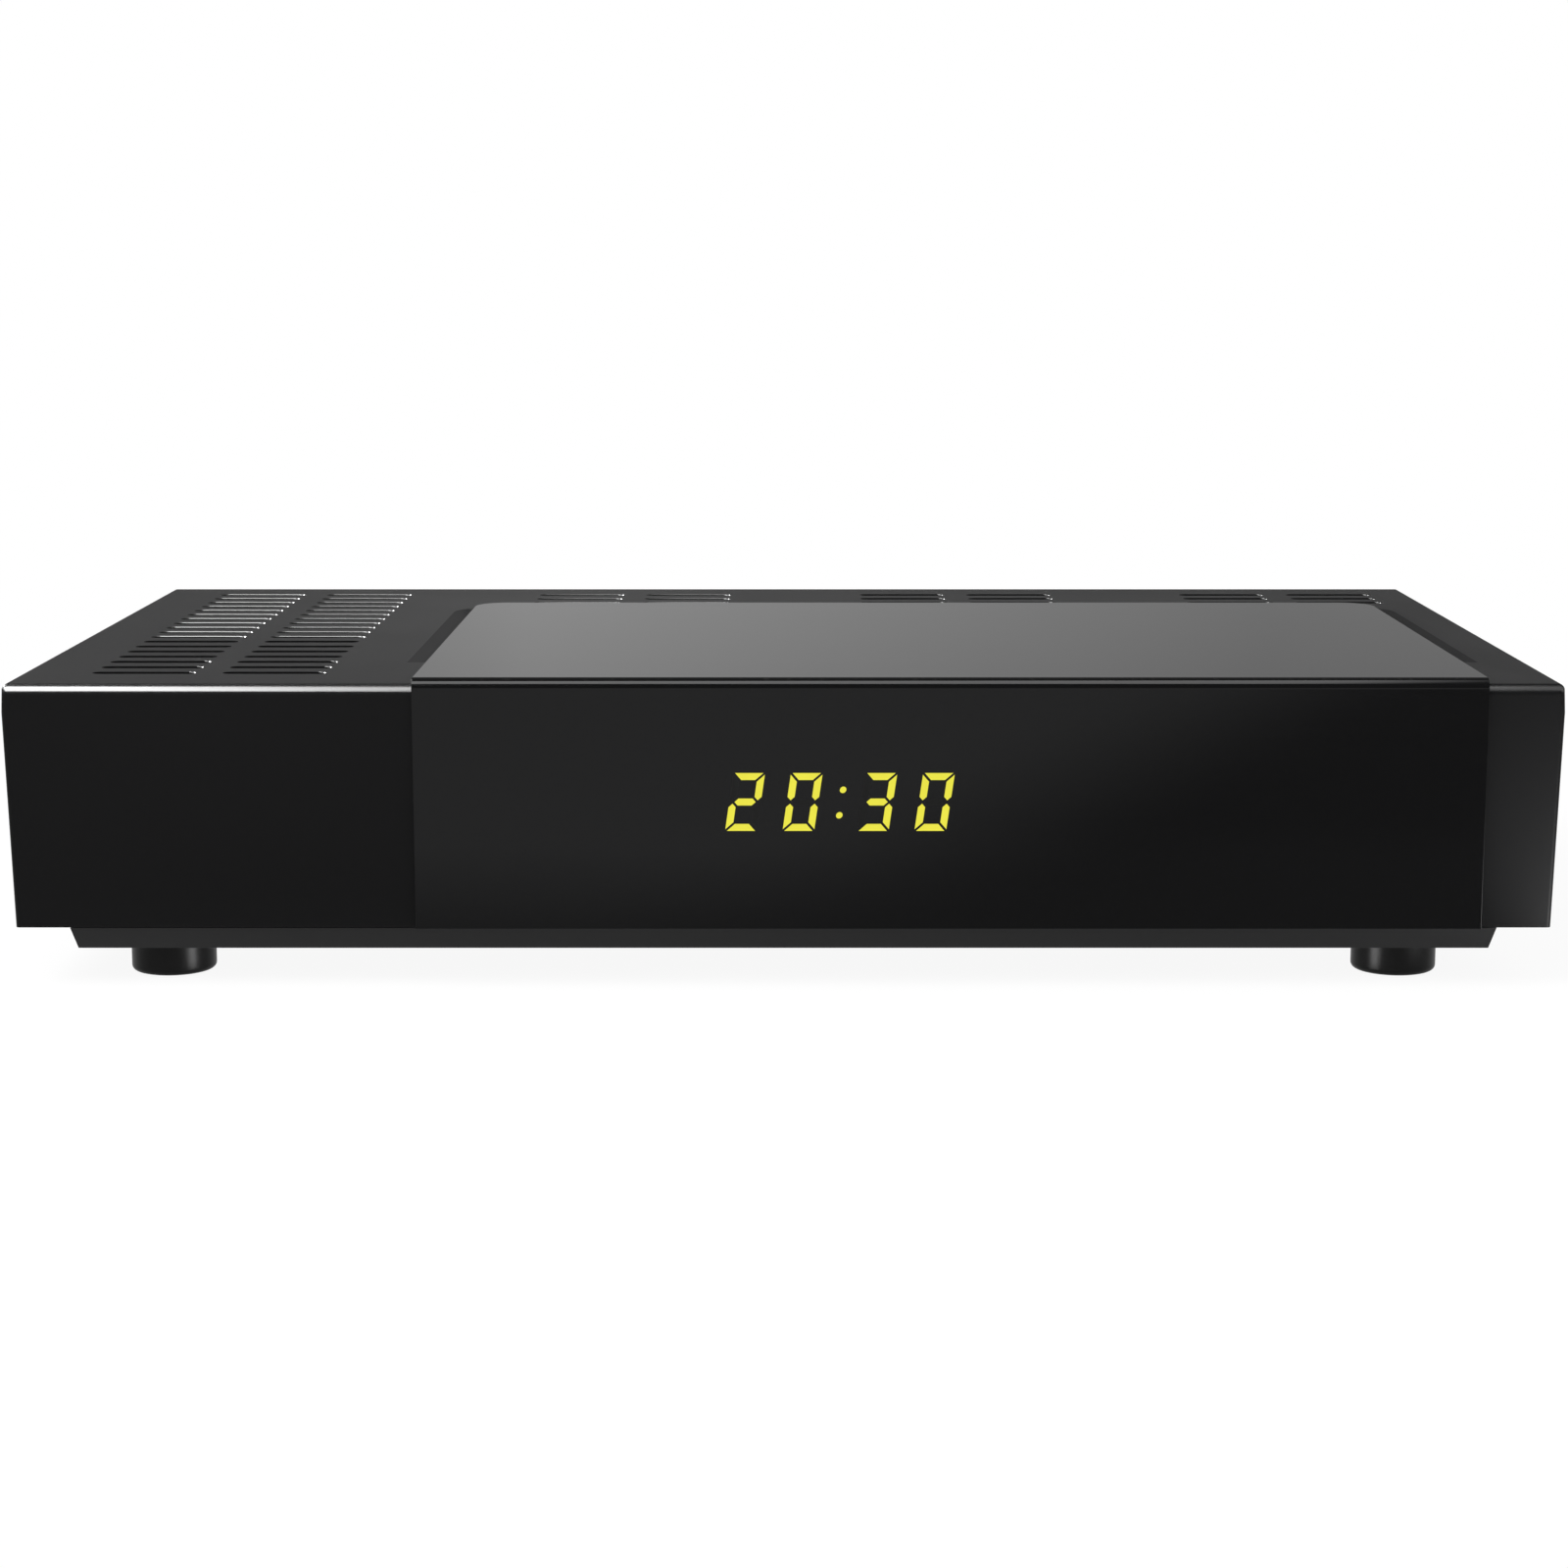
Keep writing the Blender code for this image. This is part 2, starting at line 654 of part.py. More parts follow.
def make_cover():
    cover = outlined("upper_housing", [cover_section(0, COVER_Z)], FRONT_Y, REAR_Y, "front")
    weigh_cover_edges(cover)
    rounding = cover.modifiers.new("rounding", "BEVEL")
    rounding.limit_method = "WEIGHT"
    rounding.width = FRONT_EDGE_RADIUS
    rounding.segments = CORNER_SIDES
    inner_front = FRONT_Y + FRONT_WALL
    hollow = cover_section(WALL, COVER_Z - OVERRUN)
    cut(
        cover,
        outlined("cover_hollow", [hollow], inner_front, REAR_Y + OVERRUN, "front"),
        outlined("fascia_top_seat", [channel_outline()], TOP_Z - FASCIA_SEAT, TOP_Z + OVERRUN, "top"),
        box(
            "fascia_front_seat",
            (FASCIA_LEFT - GAP, FRONT_Y - OVERRUN, COVER_Z - OVERRUN),
            (FASCIA_RIGHT + GAP, FRONT_Y + FASCIA_SEAT, TOP_Z + OVERRUN),
        ),
        outlined(
            "vent_slots",
            [capsule(x, y, SLOT_LENGTH, SLOT_WIDTH) for x, y in slot_places()],
            CEILING_Z - OVERRUN,
            TOP_Z + OVERRUN,
            "top",
        ),
    )
    (left, low), (right, high) = display_box()
    depth = FRONT_WALL + OVERRUN
    window_high = (right + GAP, FRONT_Y + depth, high + GAP)
    window = box("display_window", (left - GAP, FRONT_Y, low - GAP), window_high)
    eye = rod("sensor_hole", SENSOR_LENS_RADIUS + GAP, depth, (SENSOR_PLACE, FRONT_Y, SENSOR_Z), REARWARD)
    lamp = rod("lamp_hole", LAMP_RADIUS + GAP, depth, (LAMP_PLACE, FRONT_Y, SENSOR_Z), REARWARD)
    cut(cover, gathered("front_openings", [window, eye, lamp]))
    pad_top = FLANGE_Z + SCREW_PAD_HEIGHT + GAP
    boss_length = CEILING_Z - pad_top + WALL / 2
    bosses = [rod("boss", BOSS_RADIUS, boss_length, (x, y, pad_top)) for x, y in screw_places()]
    lug_back = PANEL_IN_Y - GAP
    half_lug = LUG_SIZE / 2
    lugs = [
        box(
            "lug",
            (x - half_lug, lug_back - LUG_SIZE, CEILING_Z - LUG_SIZE),
            (x + half_lug, lug_back, CEILING_Z + WALL / 2),
        )
        for x in both_sides(LUG_X)
    ]
    fuse(cover, gathered("bosses_and_lugs", bosses + lugs))
    pilot_depth = case_screw_seat() + LONG_SCREW + GAP - pad_top + OVERRUN
    pilots = [
        rod("pilot", HOLE_RADIUS, pilot_depth, (x, y, pad_top - OVERRUN), sides=SCREW_SIDES)
        for x, y in screw_places()
    ]
    lug_depth = SHORT_SCREW - PANEL_THICKNESS + OVERRUN
    pilots += [
        rod("pilot", HOLE_RADIUS, lug_depth, (x, lug_back + OVERRUN, LUG_AXIS_Z), FORWARD, SCREW_SIDES)
        for x in both_sides(LUG_X)
    ]
    cut(cover, gathered("pilot_holes", pilots))
    return paint(cover, BLACK_ABS, 0.38)


# Fascia

def make_fascia():
    front = FRONT_Y - FASCIA_PROUD
    top = TOP_Z + FASCIA_PROUD
    radius = FRONT_EDGE_RADIUS
    inner_y = front + FASCIA_THICKNESS
    inner_z = top - FASCIA_THICKNESS
    section = [(inner_y, COVER_Z), (inner_y, inner_z), (FASCIA_BACK_Y, inner_z), (FASCIA_BACK_Y, top)]
    section += arc(front + radius, top - radius, radius, 90, 180, CORNER_SIDES)
    section += [(front, COVER_Z)]
    fascia = outlined("fascia_panel", [section], FASCIA_LEFT, FASCIA_RIGHT, "side")
    bm = bmesh.new()
    bm.from_mesh(fascia.data)
    corners = []
    for edge in bm.edges:
        ends = [fascia.matrix_world @ vert.co for vert in edge.verts]
        at_back = all(abs(end.y - FASCIA_BACK_Y) < WELD for end in ends)
        if at_back and abs(ends[0].z - ends[1].z) > WELD:
            corners.append(edge)
    round_off = {"affect": "EDGES", "offset": FASCIA_CORNER, "segments": CORNER_SIDES, "profile": 0.5}
    bmesh.ops.bevel(bm, geom=corners, **round_off)
    bm.to_mesh(fascia.data)
    bm.free()
    shade_round(fascia.data)
    return paint(fascia, SMOKED_ACRYLIC, 0.06)


# Tray

def case_screw_seat():
    """Height of the face that the heads of the case screws pull up against."""
    return FLANGE_Z + LENS_SINK + HEAD_HEIGHT


def foot_places():
    depths = (FRONT_Y + FOOT_END_INSET, REAR_Y - FOOT_END_INSET)
    return [(x, y) for y in depths for x in both_sides(HALF_WIDTH - FOOT_SIDE_INSET)]


def board_screw_places():
    rear = BOARD_REAR_Y - TUNER_DEPTH - BOARD_SCREW_INSET
    depths = (BOARD_FRONT_Y + BOARD_SCREW_INSET, rear)
    return [(x, y) for y in depths for x in both_sides(BOARD_HALF - BOARD_SCREW_INSET)]


def rail_places():
    (left, _), _ = display_box()
    board_left = left - FRONT_BOARD_MARGIN
    board_right = LAMP_PLACE + FRONT_BOARD_MARGIN / 2
    return board_left + RAIL_WIDTH, board_right - RAIL_WIDTH


def make_skirt():
    """The band under the case: its sides lean in towards the ground."""
    half = HALF_WIDTH - SKIRT_SIDE_INSET
    front = FRONT_Y + SKIRT_END_INSET
    rear = REAR_Y - SKIRT_END_INSET
    skirt = box("lower_housing", (-half, front, FOOT_HEIGHT), (half, rear, SKIRT_TOP_Z))
    for vertex in skirt.data.vertices:
        if vertex.co.z < 0:
            vertex.co.x -= math.copysign(SKIRT_SLOPE, vertex.co.x)
            vertex.co.y -= math.copysign(SKIRT_SLOPE, vertex.co.y)
    return skirt


def make_tray():
    tray = make_skirt()
    flange_front = FRONT_Y + FRONT_WALL + GAP
    skirt_half = HALF_WIDTH - SKIRT_SIDE_INSET - SKIRT_SLOPE
    skirt_rear = REAR_Y - SKIRT_END_INSET - SKIRT_SLOPE
    flange = box("tray_flange", (-FLANGE_HALF, flange_front, FLANGE_Z), (FLANGE_HALF, REAR_Y, FLANGE_TOP_Z))
    fuse(tray, flange)
    cut(
        tray,
        box(
            "tray_hollow",
            (WALL - skirt_half, flange_front + WALL, FLOOR_Z),
            (skirt_half - WALL, skirt_rear - WALL, FLANGE_TOP_Z + OVERRUN),
        ),
    )
    sunk = WALL / 2
    pads = [
        rod("pad", SCREW_PAD_RADIUS, SCREW_PAD_HEIGHT - sunk, (x, y, FLANGE_Z + sunk), sides=SMALL_SIDES)
        for x, y in screw_places()
    ]
    standoffs = [
        rod("standoff", STANDOFF_RADIUS, BOARD_LIFT + sunk, (x, y, FLOOR_Z - sunk), sides=SMALL_SIDES)
        for x, y in board_screw_places()
    ]
    rail_front = FRONT_BOARD_Y - GAP - RAIL_WALL
    rail_back = FRONT_BOARD_Y + BOARD_THICKNESS + GAP + RAIL_WALL
    half_rail = RAIL_WIDTH / 2
    rail_top = FLOOR_Z + RAIL_HEIGHT
    rails = [
        box("rail", (x - half_rail, rail_front, FLOOR_Z - sunk), (x + half_rail, rail_back, rail_top))
        for x in rail_places()
    ]
    fuse(tray, gathered("pads", pads), gathered("standoffs_and_rails", standoffs + rails))
    head_radius = HEAD_RADIUS + GAP
    head_room = case_screw_seat() + GAP - FLANGE_Z
    heads = [
        rod("head_hole", head_radius, head_room + OVERRUN, (x, y, FLANGE_Z - OVERRUN), sides=SMALL_SIDES)
        for x, y in screw_places()
    ]
    shanks = [
        rod("shank_hole", HOLE_RADIUS, SCREW_PAD_HEIGHT + OVERRUN, (x, y, FLANGE_Z), sides=SCREW_SIDES)
        for x, y in screw_places()
    ]
    seats = [
        rod("foot_seat", FOOT_RADIUS + GAP, FOOT_SEAT + OVERRUN, (x, y, FOOT_HEIGHT - OVERRUN))
        for x, y in foot_places()
    ]
    screw_tip = SEAT_Z - SHORT_SCREW - GAP
    pilots = [
        rod("pilot", HOLE_RADIUS, BOARD_Z + OVERRUN - screw_tip, (x, y, screw_tip), sides=SCREW_SIDES)
        for x, y in board_screw_places()
    ]
    groove_low = FLOOR_Z + RAIL_FLOOR
    grooves = [
        box(
            "groove",
            (x - half_rail - OVERRUN, FRONT_BOARD_Y - GAP, groove_low),
            (x + half_rail + OVERRUN, FRONT_BOARD_Y + BOARD_THICKNESS + GAP, rail_top + OVERRUN),
        )
        for x in rail_places()
    ]
    cut(tray, gathered("screw_heads", heads + seats + pilots + grooves), gathered("screw_shanks", shanks))
    return paint(tray, BLACK_ABS, 0.45)


# Feet

def make_feet():
    height = FOOT_HEIGHT + FOOT_SEAT - GAP
    radius = FOOT_RADIUS
    chamfer = FOOT_CHAMFER
    profile = [(0, height), (radius, height), (radius, chamfer), (radius - chamfer, 0), (0, 0)]
    pattern = turned("foot", profile, (0, 0, 0))
    paint(pattern, BLACK_RUBBER, 0.6)
    mesh = settled(pattern)
    names = ("foot_front_left", "foot_front_right", "foot_rear_left", "foot_rear_right")
    for name, (x, y) in zip(names, foot_places()):
        place(name, mesh, (x, y, 0))


# Screws

def screw_mesh(name, length):
    """A pan-head screw whose head stands on the plane at height zero and whose shank points down."""
    radius = SHANK_RADIUS
    profile = [(HEAD_RADIUS * across, HEAD_HEIGHT * up) for across, up in HEAD_PROFILE_SHARES]
    profile += [(radius, 0), (radius, radius - length), (radius / 2, -length), (0, -length)]
    screw = turned(name, profile, (0, 0, 0), sides=SCREW_SIDES)
    paint(screw, ZINC, 0.35, 1.0)
    half = CROSS_SLOT_WIDTH / 2
    reach = HEAD_RADIUS / 2
    low = HEAD_HEIGHT / 2
    high = HEAD_HEIGHT + OVERRUN
    cut(screw, box("cross_a", (-reach, -half, low), (reach, half, high)))
    cut(screw, box("cross_b", (-half, -reach, low), (half, reach, high)))
    return settled(screw)


def make_screws():
    short = screw_mesh("short_screw", SHORT_SCREW)
    long = screw_mesh("long_screw", LONG_SCREW)
    for number, (x, y) in enumerate(screw_places(), 1):
        place(f"case_screw_{number}", long, (x, y, case_screw_seat()), (math.pi, 0, 0))
    for number, (x, y) in enumerate(board_screw_places(), 1):
        place(f"board_screw_{number}", short, (x, y, SEAT_Z))
    for side, x in zip(("left", "right"), both_sides(LUG_X)):
        place(f"panel_screw_{side}", short, (x, PANEL_OUT_Y + GAP, LUG_AXIS_Z), REARWARD)


# Row of sockets

def row_places():
    """Middle of each thing in the row at the back, left to right with even spaces between them."""
    widths = {
        "switch": BEZEL_WIDTH,
        "power": POWER_WIDTH,
        "scart": SCART_WIDTH,
        "digital": PHONO_WIDTH,
        "left": PHONO_WIDTH,
        "right": PHONO_WIDTH,
        "remote": REMOTE_SIZE,
        "usb": USB_WIDTH,
        "hdmi": HDMI_WIDTH,
        "in": TUNER_BAY_WIDTH,
        "out": TUNER_BAY_WIDTH,
    }
    start = -FLANGE_HALF + ROW_MARGIN
    space = (BOARD_HALF - start - sum(widths.values())) / (len(widths) - 1)
    places = {}
    for name, width in widths.items():
        places[name] = start + width / 2
        start += width + space
    return places


ROW = row_places()
PHONO_Z = SEAT_Z + PHONO_HEIGHT / 2
POWER_Z = SEAT_Z + POWER_HEIGHT / 2
REMOTE_Z = SEAT_Z + REMOTE_SIZE / 2
SCART_Z = SEAT_Z + SCART_HEIGHT / 2
USB_Z = SEAT_Z + USB_HEIGHT / 2
HDMI_Z = SEAT_Z + HDMI_HEIGHT / 2
SWITCH_Z = (PANEL_Z + PANEL_TOP_Z) / 2
CAVITY_HALF_HEIGHT = math.hypot(ROCKER_REACH, ROCKER_RISE) + GAP
SWITCH_BODY_WIDTH = ROCKER_WIDTH + 2 * (GAP + SWITCH_WALL)
SWITCH_BODY_HEIGHT = 2 * (CAVITY_HALF_HEIGHT + SWITCH_WALL)
SCART_BLOCK_WIDTH = SCART_RIM_WIDTH - 2 * (SCART_RIM_WALL + SCART_SIDE_ROOM)
SCART_BLOCK_HEIGHT = SCART_RIM_HEIGHT - 2 * (SCART_RIM_WALL + SCART_END_ROOM)
SCART_CONTACTS = int(SCART_BLOCK_WIDTH / SCART_CONTACT_PITCH)
SCART_CORNER = SCART_SIDE_ROOM + SCART_END_ROOM - GAP
TIP_Y = PANEL_OUT_Y + SOCKET_LIP


def scart_outline(grow):
    """A long rectangle with one lower corner cut off, grown or shrunk all round."""
    half_width = SCART_RIM_WIDTH / 2 + grow
    half_height = SCART_RIM_HEIGHT / 2 + grow
    x = ROW["scart"]
    return [
        (x - half_width, SCART_Z - half_height),
        (x + half_width - SCART_CORNER, SCART_Z - half_height),
        (x + half_width, SCART_Z - half_height + SCART_CORNER),
        (x + half_width, SCART_Z + half_height),
        (x - half_width, SCART_Z + half_height),
    ]


def hdmi_outline(grow):
    """A flat rectangle with both lower corners cut off, grown or shrunk all round."""
    half_width = HDMI_WIDTH / 2 + grow
    half_height = HDMI_HEIGHT / 2 + grow
    x = ROW["hdmi"]
    return [
        (x - half_width + HDMI_CORNER, HDMI_Z - half_height),
        (x + half_width - HDMI_CORNER, HDMI_Z - half_height),
        (x + half_width, HDMI_Z - half_height + HDMI_CORNER),
        (x + half_width, HDMI_Z + half_height),
        (x - half_width, HDMI_Z + half_height),
        (x - half_width, HDMI_Z - half_height + HDMI_CORNER),
    ]


# Rear panel

def panel_outline():
    inset = WALL + GAP
    slope = SIDE_DRAFT / (COVER_HEIGHT - SHOULDER_DROP)
    foot = HALF_FOOTPRINT - inset + slope * (PANEL_Z - COVER_Z)
    shoulder = HALF_WIDTH - inset
    top = HALF_WIDTH - TOP_TUCK - inset
    right = [(foot, PANEL_Z), (shoulder, TOP_Z - SHOULDER_DROP), (top, PANEL_TOP_Z)]
    return right + [(-x, z) for x, z in reversed(right)]


def make_rear_panel():
    loops = [
        panel_outline(),
        rectangle(ROW["switch"], SWITCH_Z, SWITCH_BODY_WIDTH + 2 * GAP, SWITCH_BODY_HEIGHT + 2 * GAP),
        circle(ROW["power"], POWER_Z, POWER_NOSE_RADIUS + GAP),
        scart_outline(GAP),
        circle(ROW["remote"], REMOTE_Z, REMOTE_NOSE_RADIUS + GAP, SMALL_SIDES),
        rectangle(ROW["usb"], USB_Z, USB_WIDTH + 2 * GAP, USB_HEIGHT + 2 * GAP),
        hdmi_outline(GAP),
    ]
    loops += [circle(ROW[name], PHONO_Z, PHONO_RING_RADIUS + GAP) for name in ("digital", "left", "right")]
    loops += [circle(ROW[name], TUNER_AXIS_Z, AERIAL_RADIUS + GAP) for name in ("in", "out")]
    loops += [circle(x, LUG_AXIS_Z, HOLE_RADIUS, SCREW_SIDES) for x in both_sides(LUG_X)]
    panel = outlined("rear_panel", loops, PANEL_IN_Y, PANEL_OUT_Y, "front")
    return paint(panel, PANEL_PAINT, 0.5, 0.3)


# Rocker switch

def make_switch():
    x = ROW["switch"]
    half_width = SWITCH_BODY_WIDTH / 2
    half_height = SWITCH_BODY_HEIGHT / 2
    seat = PANEL_OUT_Y + GAP
    face = seat + BEZEL_THICKNESS
    body = box(
        "switch_body",
        (x - half_width, PANEL_OUT_Y - SWITCH_DEPTH, SWITCH_Z - half_height),
        (x + half_width, face, SWITCH_Z + half_height),
    )
    bezel = rectangle(x, SWITCH_Z, BEZEL_WIDTH, BEZEL_HEIGHT)
    fuse(body, outlined("switch_bezel", [bezel], seat, face, "front"))
    cavity_half = ROCKER_WIDTH / 2 + GAP
    back_swing = math.hypot(ROCKER_BACK_REACH, ROCKER_BACK)
    cut(
        body,
        box(
            "switch_cavity",
            (x - cavity_half, PANEL_OUT_Y - back_swing - GAP, SWITCH_Z - CAVITY_HALF_HEIGHT),
            (x + cavity_half, face + OVERRUN, SWITCH_Z + CAVITY_HALF_HEIGHT),
        ),
        outlined(
            "switch_pin_holes",
            [circle(PANEL_OUT_Y, SWITCH_Z, ROCKER_PIN_RADIUS + GAP, SMALL_SIDES)],
            x - half_width - OVERRUN,
            x + half_width + OVERRUN,
            "side",
        ),
    )
    paint(body, BLACK_NYLON, 0.4)
    hinge = bpy.data.objects.new("rocker_hinge", None)
    hinge.location = (x, PANEL_OUT_Y, SWITCH_Z)
    hinge.rotation_euler = (math.radians(-ROCKER_SWING / 2), 0, 0)
    PARTS.objects.link(hinge)
    side_view = [
        (-ROCKER_BACK, -ROCKER_BACK_REACH),
        (ROCKER_RISE, -ROCKER_REACH),
        (ROCKER_RISE - ROCKER_DIP, 0),
        (ROCKER_RISE, ROCKER_REACH),
        (-ROCKER_BACK, ROCKER_BACK_REACH),
    ]
    rocker = outlined("power_rocker", [side_view], -ROCKER_WIDTH / 2, ROCKER_WIDTH / 2, "side")
    pin_reach = ROCKER_WIDTH / 2 + ROCKER_PIN_REACH
    pin_circle = circle(0, 0, ROCKER_PIN_RADIUS, SMALL_SIDES)
    pin = outlined("rocker_pin", [pin_circle], -pin_reach, pin_reach, "side")
    rocker.parent = hinge
    pin.parent = hinge
    fuse(rocker, pin)
    return paint(rocker, BLACK_NYLON, 0.25)


def make_switch_leads():
    """Two leads that leave the back of the switch and turn down onto the board."""
    x = ROW["switch"]
    start_y = PANEL_OUT_Y - SWITCH_DEPTH - GAP
    end_x = -BOARD_HALF + BOARD_SCREW_INSET
    reach = Vector((0, LEAD_BEND, 0))
    rise = Vector((0, 0, LEAD_BEND))
    for name, side, colour in (("a", 1, LEAD_RED), ("b", -1, BLACK_NYLON)):
        start = Vector((x, start_y, SWITCH_Z + side * CAVITY_HALF_HEIGHT / 2))
        end = Vector((end_x, start_y - LEAD_BEND * LEAD_LANDING_SHARES[name], SEAT_Z))
        lead = tube(f"switch_lead_{name}", start, start - reach, end + rise, end, LEAD_RADIUS)
        paint(lead, colour, 0.5)


# Power socket

def make_power_socket():
    x = ROW["power"]
    half = POWER_WIDTH / 2
    back = PANEL_IN_Y - GAP
    jack = box("dc_jack", (x - half, back - POWER_DEPTH, SEAT_Z), (x + half, back, SEAT_Z + POWER_HEIGHT))
    nose_start = PANEL_IN_Y - POWER_DEPTH / 2
    fuse(jack, rod("power_nose", POWER_NOSE_RADIUS, TIP_Y - nose_start, (x, nose_start, POWER_Z), REARWARD))
    bore_length = POWER_BORE_DEPTH + OVERRUN
    cut(jack, rod("power_bore", POWER_BORE_RADIUS, bore_length, (x, TIP_Y + OVERRUN, POWER_Z), FORWARD))
    paint(jack, BLACK_NYLON, 0.4)
    pin_base = TIP_Y - POWER_BORE_DEPTH + GAP
    pin_length = POWER_BORE_DEPTH - GAP - POWER_PIN_RADIUS
    pin = rod("dc_pin", POWER_PIN_RADIUS, pin_length, (x, pin_base, POWER_Z), REARWARD, SMALL_SIDES)
    return paint(pin, NICKEL, 0.25, 1.0)


# Two-row audio and video socket

def make_scart():
    x = ROW["scart"]
    half = SCART_WIDTH / 2
    back = PANEL_IN_Y - GAP
    top = SEAT_Z + SCART_HEIGHT
    socket = box("scart_socket", (x - half, back - SCART_DEPTH, SEAT_Z), (x + half, back, top))
    fuse(socket, outlined("scart_nose", [scart_outline(0)], PANEL_IN_Y - SCART_DEPTH / 2, TIP_Y, "front"))
    floor_y = TIP_Y - SCART_BORE_DEPTH
    cut(socket, outlined("scart_bore", [scart_outline(-SCART_RIM_WALL)], floor_y, TIP_Y + OVERRUN, "front"))
    paint(socket, BLACK_NYLON, 0.45)
    block_tip = TIP_Y - SOCKET_LIP
    half_width = SCART_BLOCK_WIDTH / 2
    half_height = SCART_BLOCK_HEIGHT / 2
    block = box(
        "scart_contacts",
        (x - half_width, floor_y + GAP, SCART_Z - half_height),
        (x + half_width, block_tip, SCART_Z + half_height),
    )
    loops = []
    for column in range(SCART_CONTACTS):
        across = x + (column - (SCART_CONTACTS - 1) / 2) * SCART_CONTACT_PITCH
        for side in (-1, 1):
            row_z = SCART_Z + side * SCART_BLOCK_HEIGHT / 4
            loops.append(rectangle(across, row_z, SCART_CONTACT_WIDTH, SCART_CONTACT_HEIGHT))
    cut(block, outlined("scart_slots", loops, block_tip - SCART_CONTACT_DEPTH, block_tip + OVERRUN, "front"))
    return paint(block, BLACK_NYLON, 0.5)


# Round audio sockets

def make_phono_sockets():
    start = ROW["digital"] - PHONO_WIDTH / 2
    end = ROW["right"] + PHONO_WIDTH / 2
    back = PANEL_IN_Y - GAP
    block = box("phono_block", (start, back - PHONO_DEPTH, SEAT_Z), (end, back, SEAT_Z + PHONO_HEIGHT))
    paint(block, BLACK_NYLON, 0.5)
    base = back + GAP
    tip = PANEL_OUT_Y + PHONO_REACH - base
    floor = PHONO_RING_WALL
    radius = PHONO_RING_RADIUS
    bore = radius - PHONO_RING_WALL
    ring = [(0, floor), (bore, floor), (bore, tip), (radius, tip), (radius, 0), (0, 0)]
    low = floor + GAP
    high = tip - SOCKET_LIP
    hole_floor = high - PHONO_HOLE_DEPTH
    plug = bore - GAP
    hole = PHONO_HOLE_RADIUS
    insert = [(0, hole_floor), (hole, hole_floor), (hole, high), (plug, high), (plug, low), (0, low)]
    ring_pattern = turned("phono_ring", ring, (0, 0, 0))
    paint(ring_pattern, NICKEL, 0.25, 1.0)
    ring_mesh = settled(ring_pattern)
    colours = {"digital": SOCKET_ORANGE, "left": SOCKET_WHITE, "right": SOCKET_RED}
    for name, colour in colours.items():
        at = (ROW[name], base, PHONO_Z)
        place(f"phono_ring_{name}", ring_mesh, at, REARWARD)
        paint(turned(f"phono_insert_{name}", insert, at, REARWARD, SMALL_SIDES), colour, 0.4)


# Small remote-sensor socket

def make_remote_socket():
    x = ROW["remote"]
    half = REMOTE_SIZE / 2
    back = PANEL_IN_Y - GAP
    jack = box("sensor_jack", (x - half, back - REMOTE_DEPTH, SEAT_Z), (x + half, back, SEAT_Z + REMOTE_SIZE))
    nose_at = (x, PANEL_IN_Y - REMOTE_DEPTH / 2, REMOTE_Z)
    nose_length = TIP_Y - nose_at[1]
    fuse(jack, rod("remote_nose", REMOTE_NOSE_RADIUS, nose_length, nose_at, REARWARD, SMALL_SIDES))
    mouth = (x, TIP_Y + OVERRUN, REMOTE_Z)
    bore_length = REMOTE_BORE_DEPTH + OVERRUN
    cut(jack, rod("remote_bore", REMOTE_BORE_RADIUS, bore_length, mouth, FORWARD, SMALL_SIDES))
    return paint(jack, BLACK_NYLON, 0.45)


# Flat sockets

def make_usb():
    x = ROW["usb"]
    front = TIP_Y - USB_DEPTH
    shell = outlined("usb_shell", [rectangle(x, USB_Z, USB_WIDTH, USB_HEIGHT)], front, TIP_Y, "front")
    bore = rectangle(x, USB_Z, USB_WIDTH - 2 * FLAT_SOCKET_WALL, USB_HEIGHT - 2 * FLAT_SOCKET_WALL)
    floor_y = front + FLAT_SOCKET_WALL
    cut(shell, outlined("usb_bore", [bore], floor_y, TIP_Y + OVERRUN, "front"))
    paint(shell, STEEL, 0.3, 1.0)
    half = USB_TONGUE_WIDTH / 2
    top = USB_Z + USB_HEIGHT / 2 - FLAT_SOCKET_WALL - GAP
    low = floor_y + GAP
    high = low + (TIP_Y - floor_y) * TONGUE_LENGTH_SHARE
    tongue = box("usb_tongue", (x - half, low, top - USB_TONGUE_THICKNESS), (x + half, high, top))
    return paint(tongue, SOCKET_WHITE, 0.45)


def make_hdmi():
    x = ROW["hdmi"]
    front = TIP_Y - HDMI_DEPTH
    shell = outlined("hdmi_shell", [hdmi_outline(0)], front, TIP_Y, "front")
    floor_y = front + FLAT_SOCKET_WALL
    cut(shell, outlined("hdmi_bore", [hdmi_outline(-FLAT_SOCKET_WALL)], floor_y, TIP_Y + OVERRUN, "front"))
    paint(shell, STEEL, 0.3, 1.0)
    half = HDMI_TONGUE_WIDTH / 2
    thickness = HDMI_TONGUE_THICKNESS / 2
    low = floor_y + GAP
    high = low + (TIP_Y - floor_y) * TONGUE_LENGTH_SHARE
    tongue = box("hdmi_tongue", (x - half, low, HDMI_Z - thickness), (x + half, high, HDMI_Z + thickness))
    return paint(tongue, BLACK_NYLON, 0.45)


# Tuner and aerial sockets

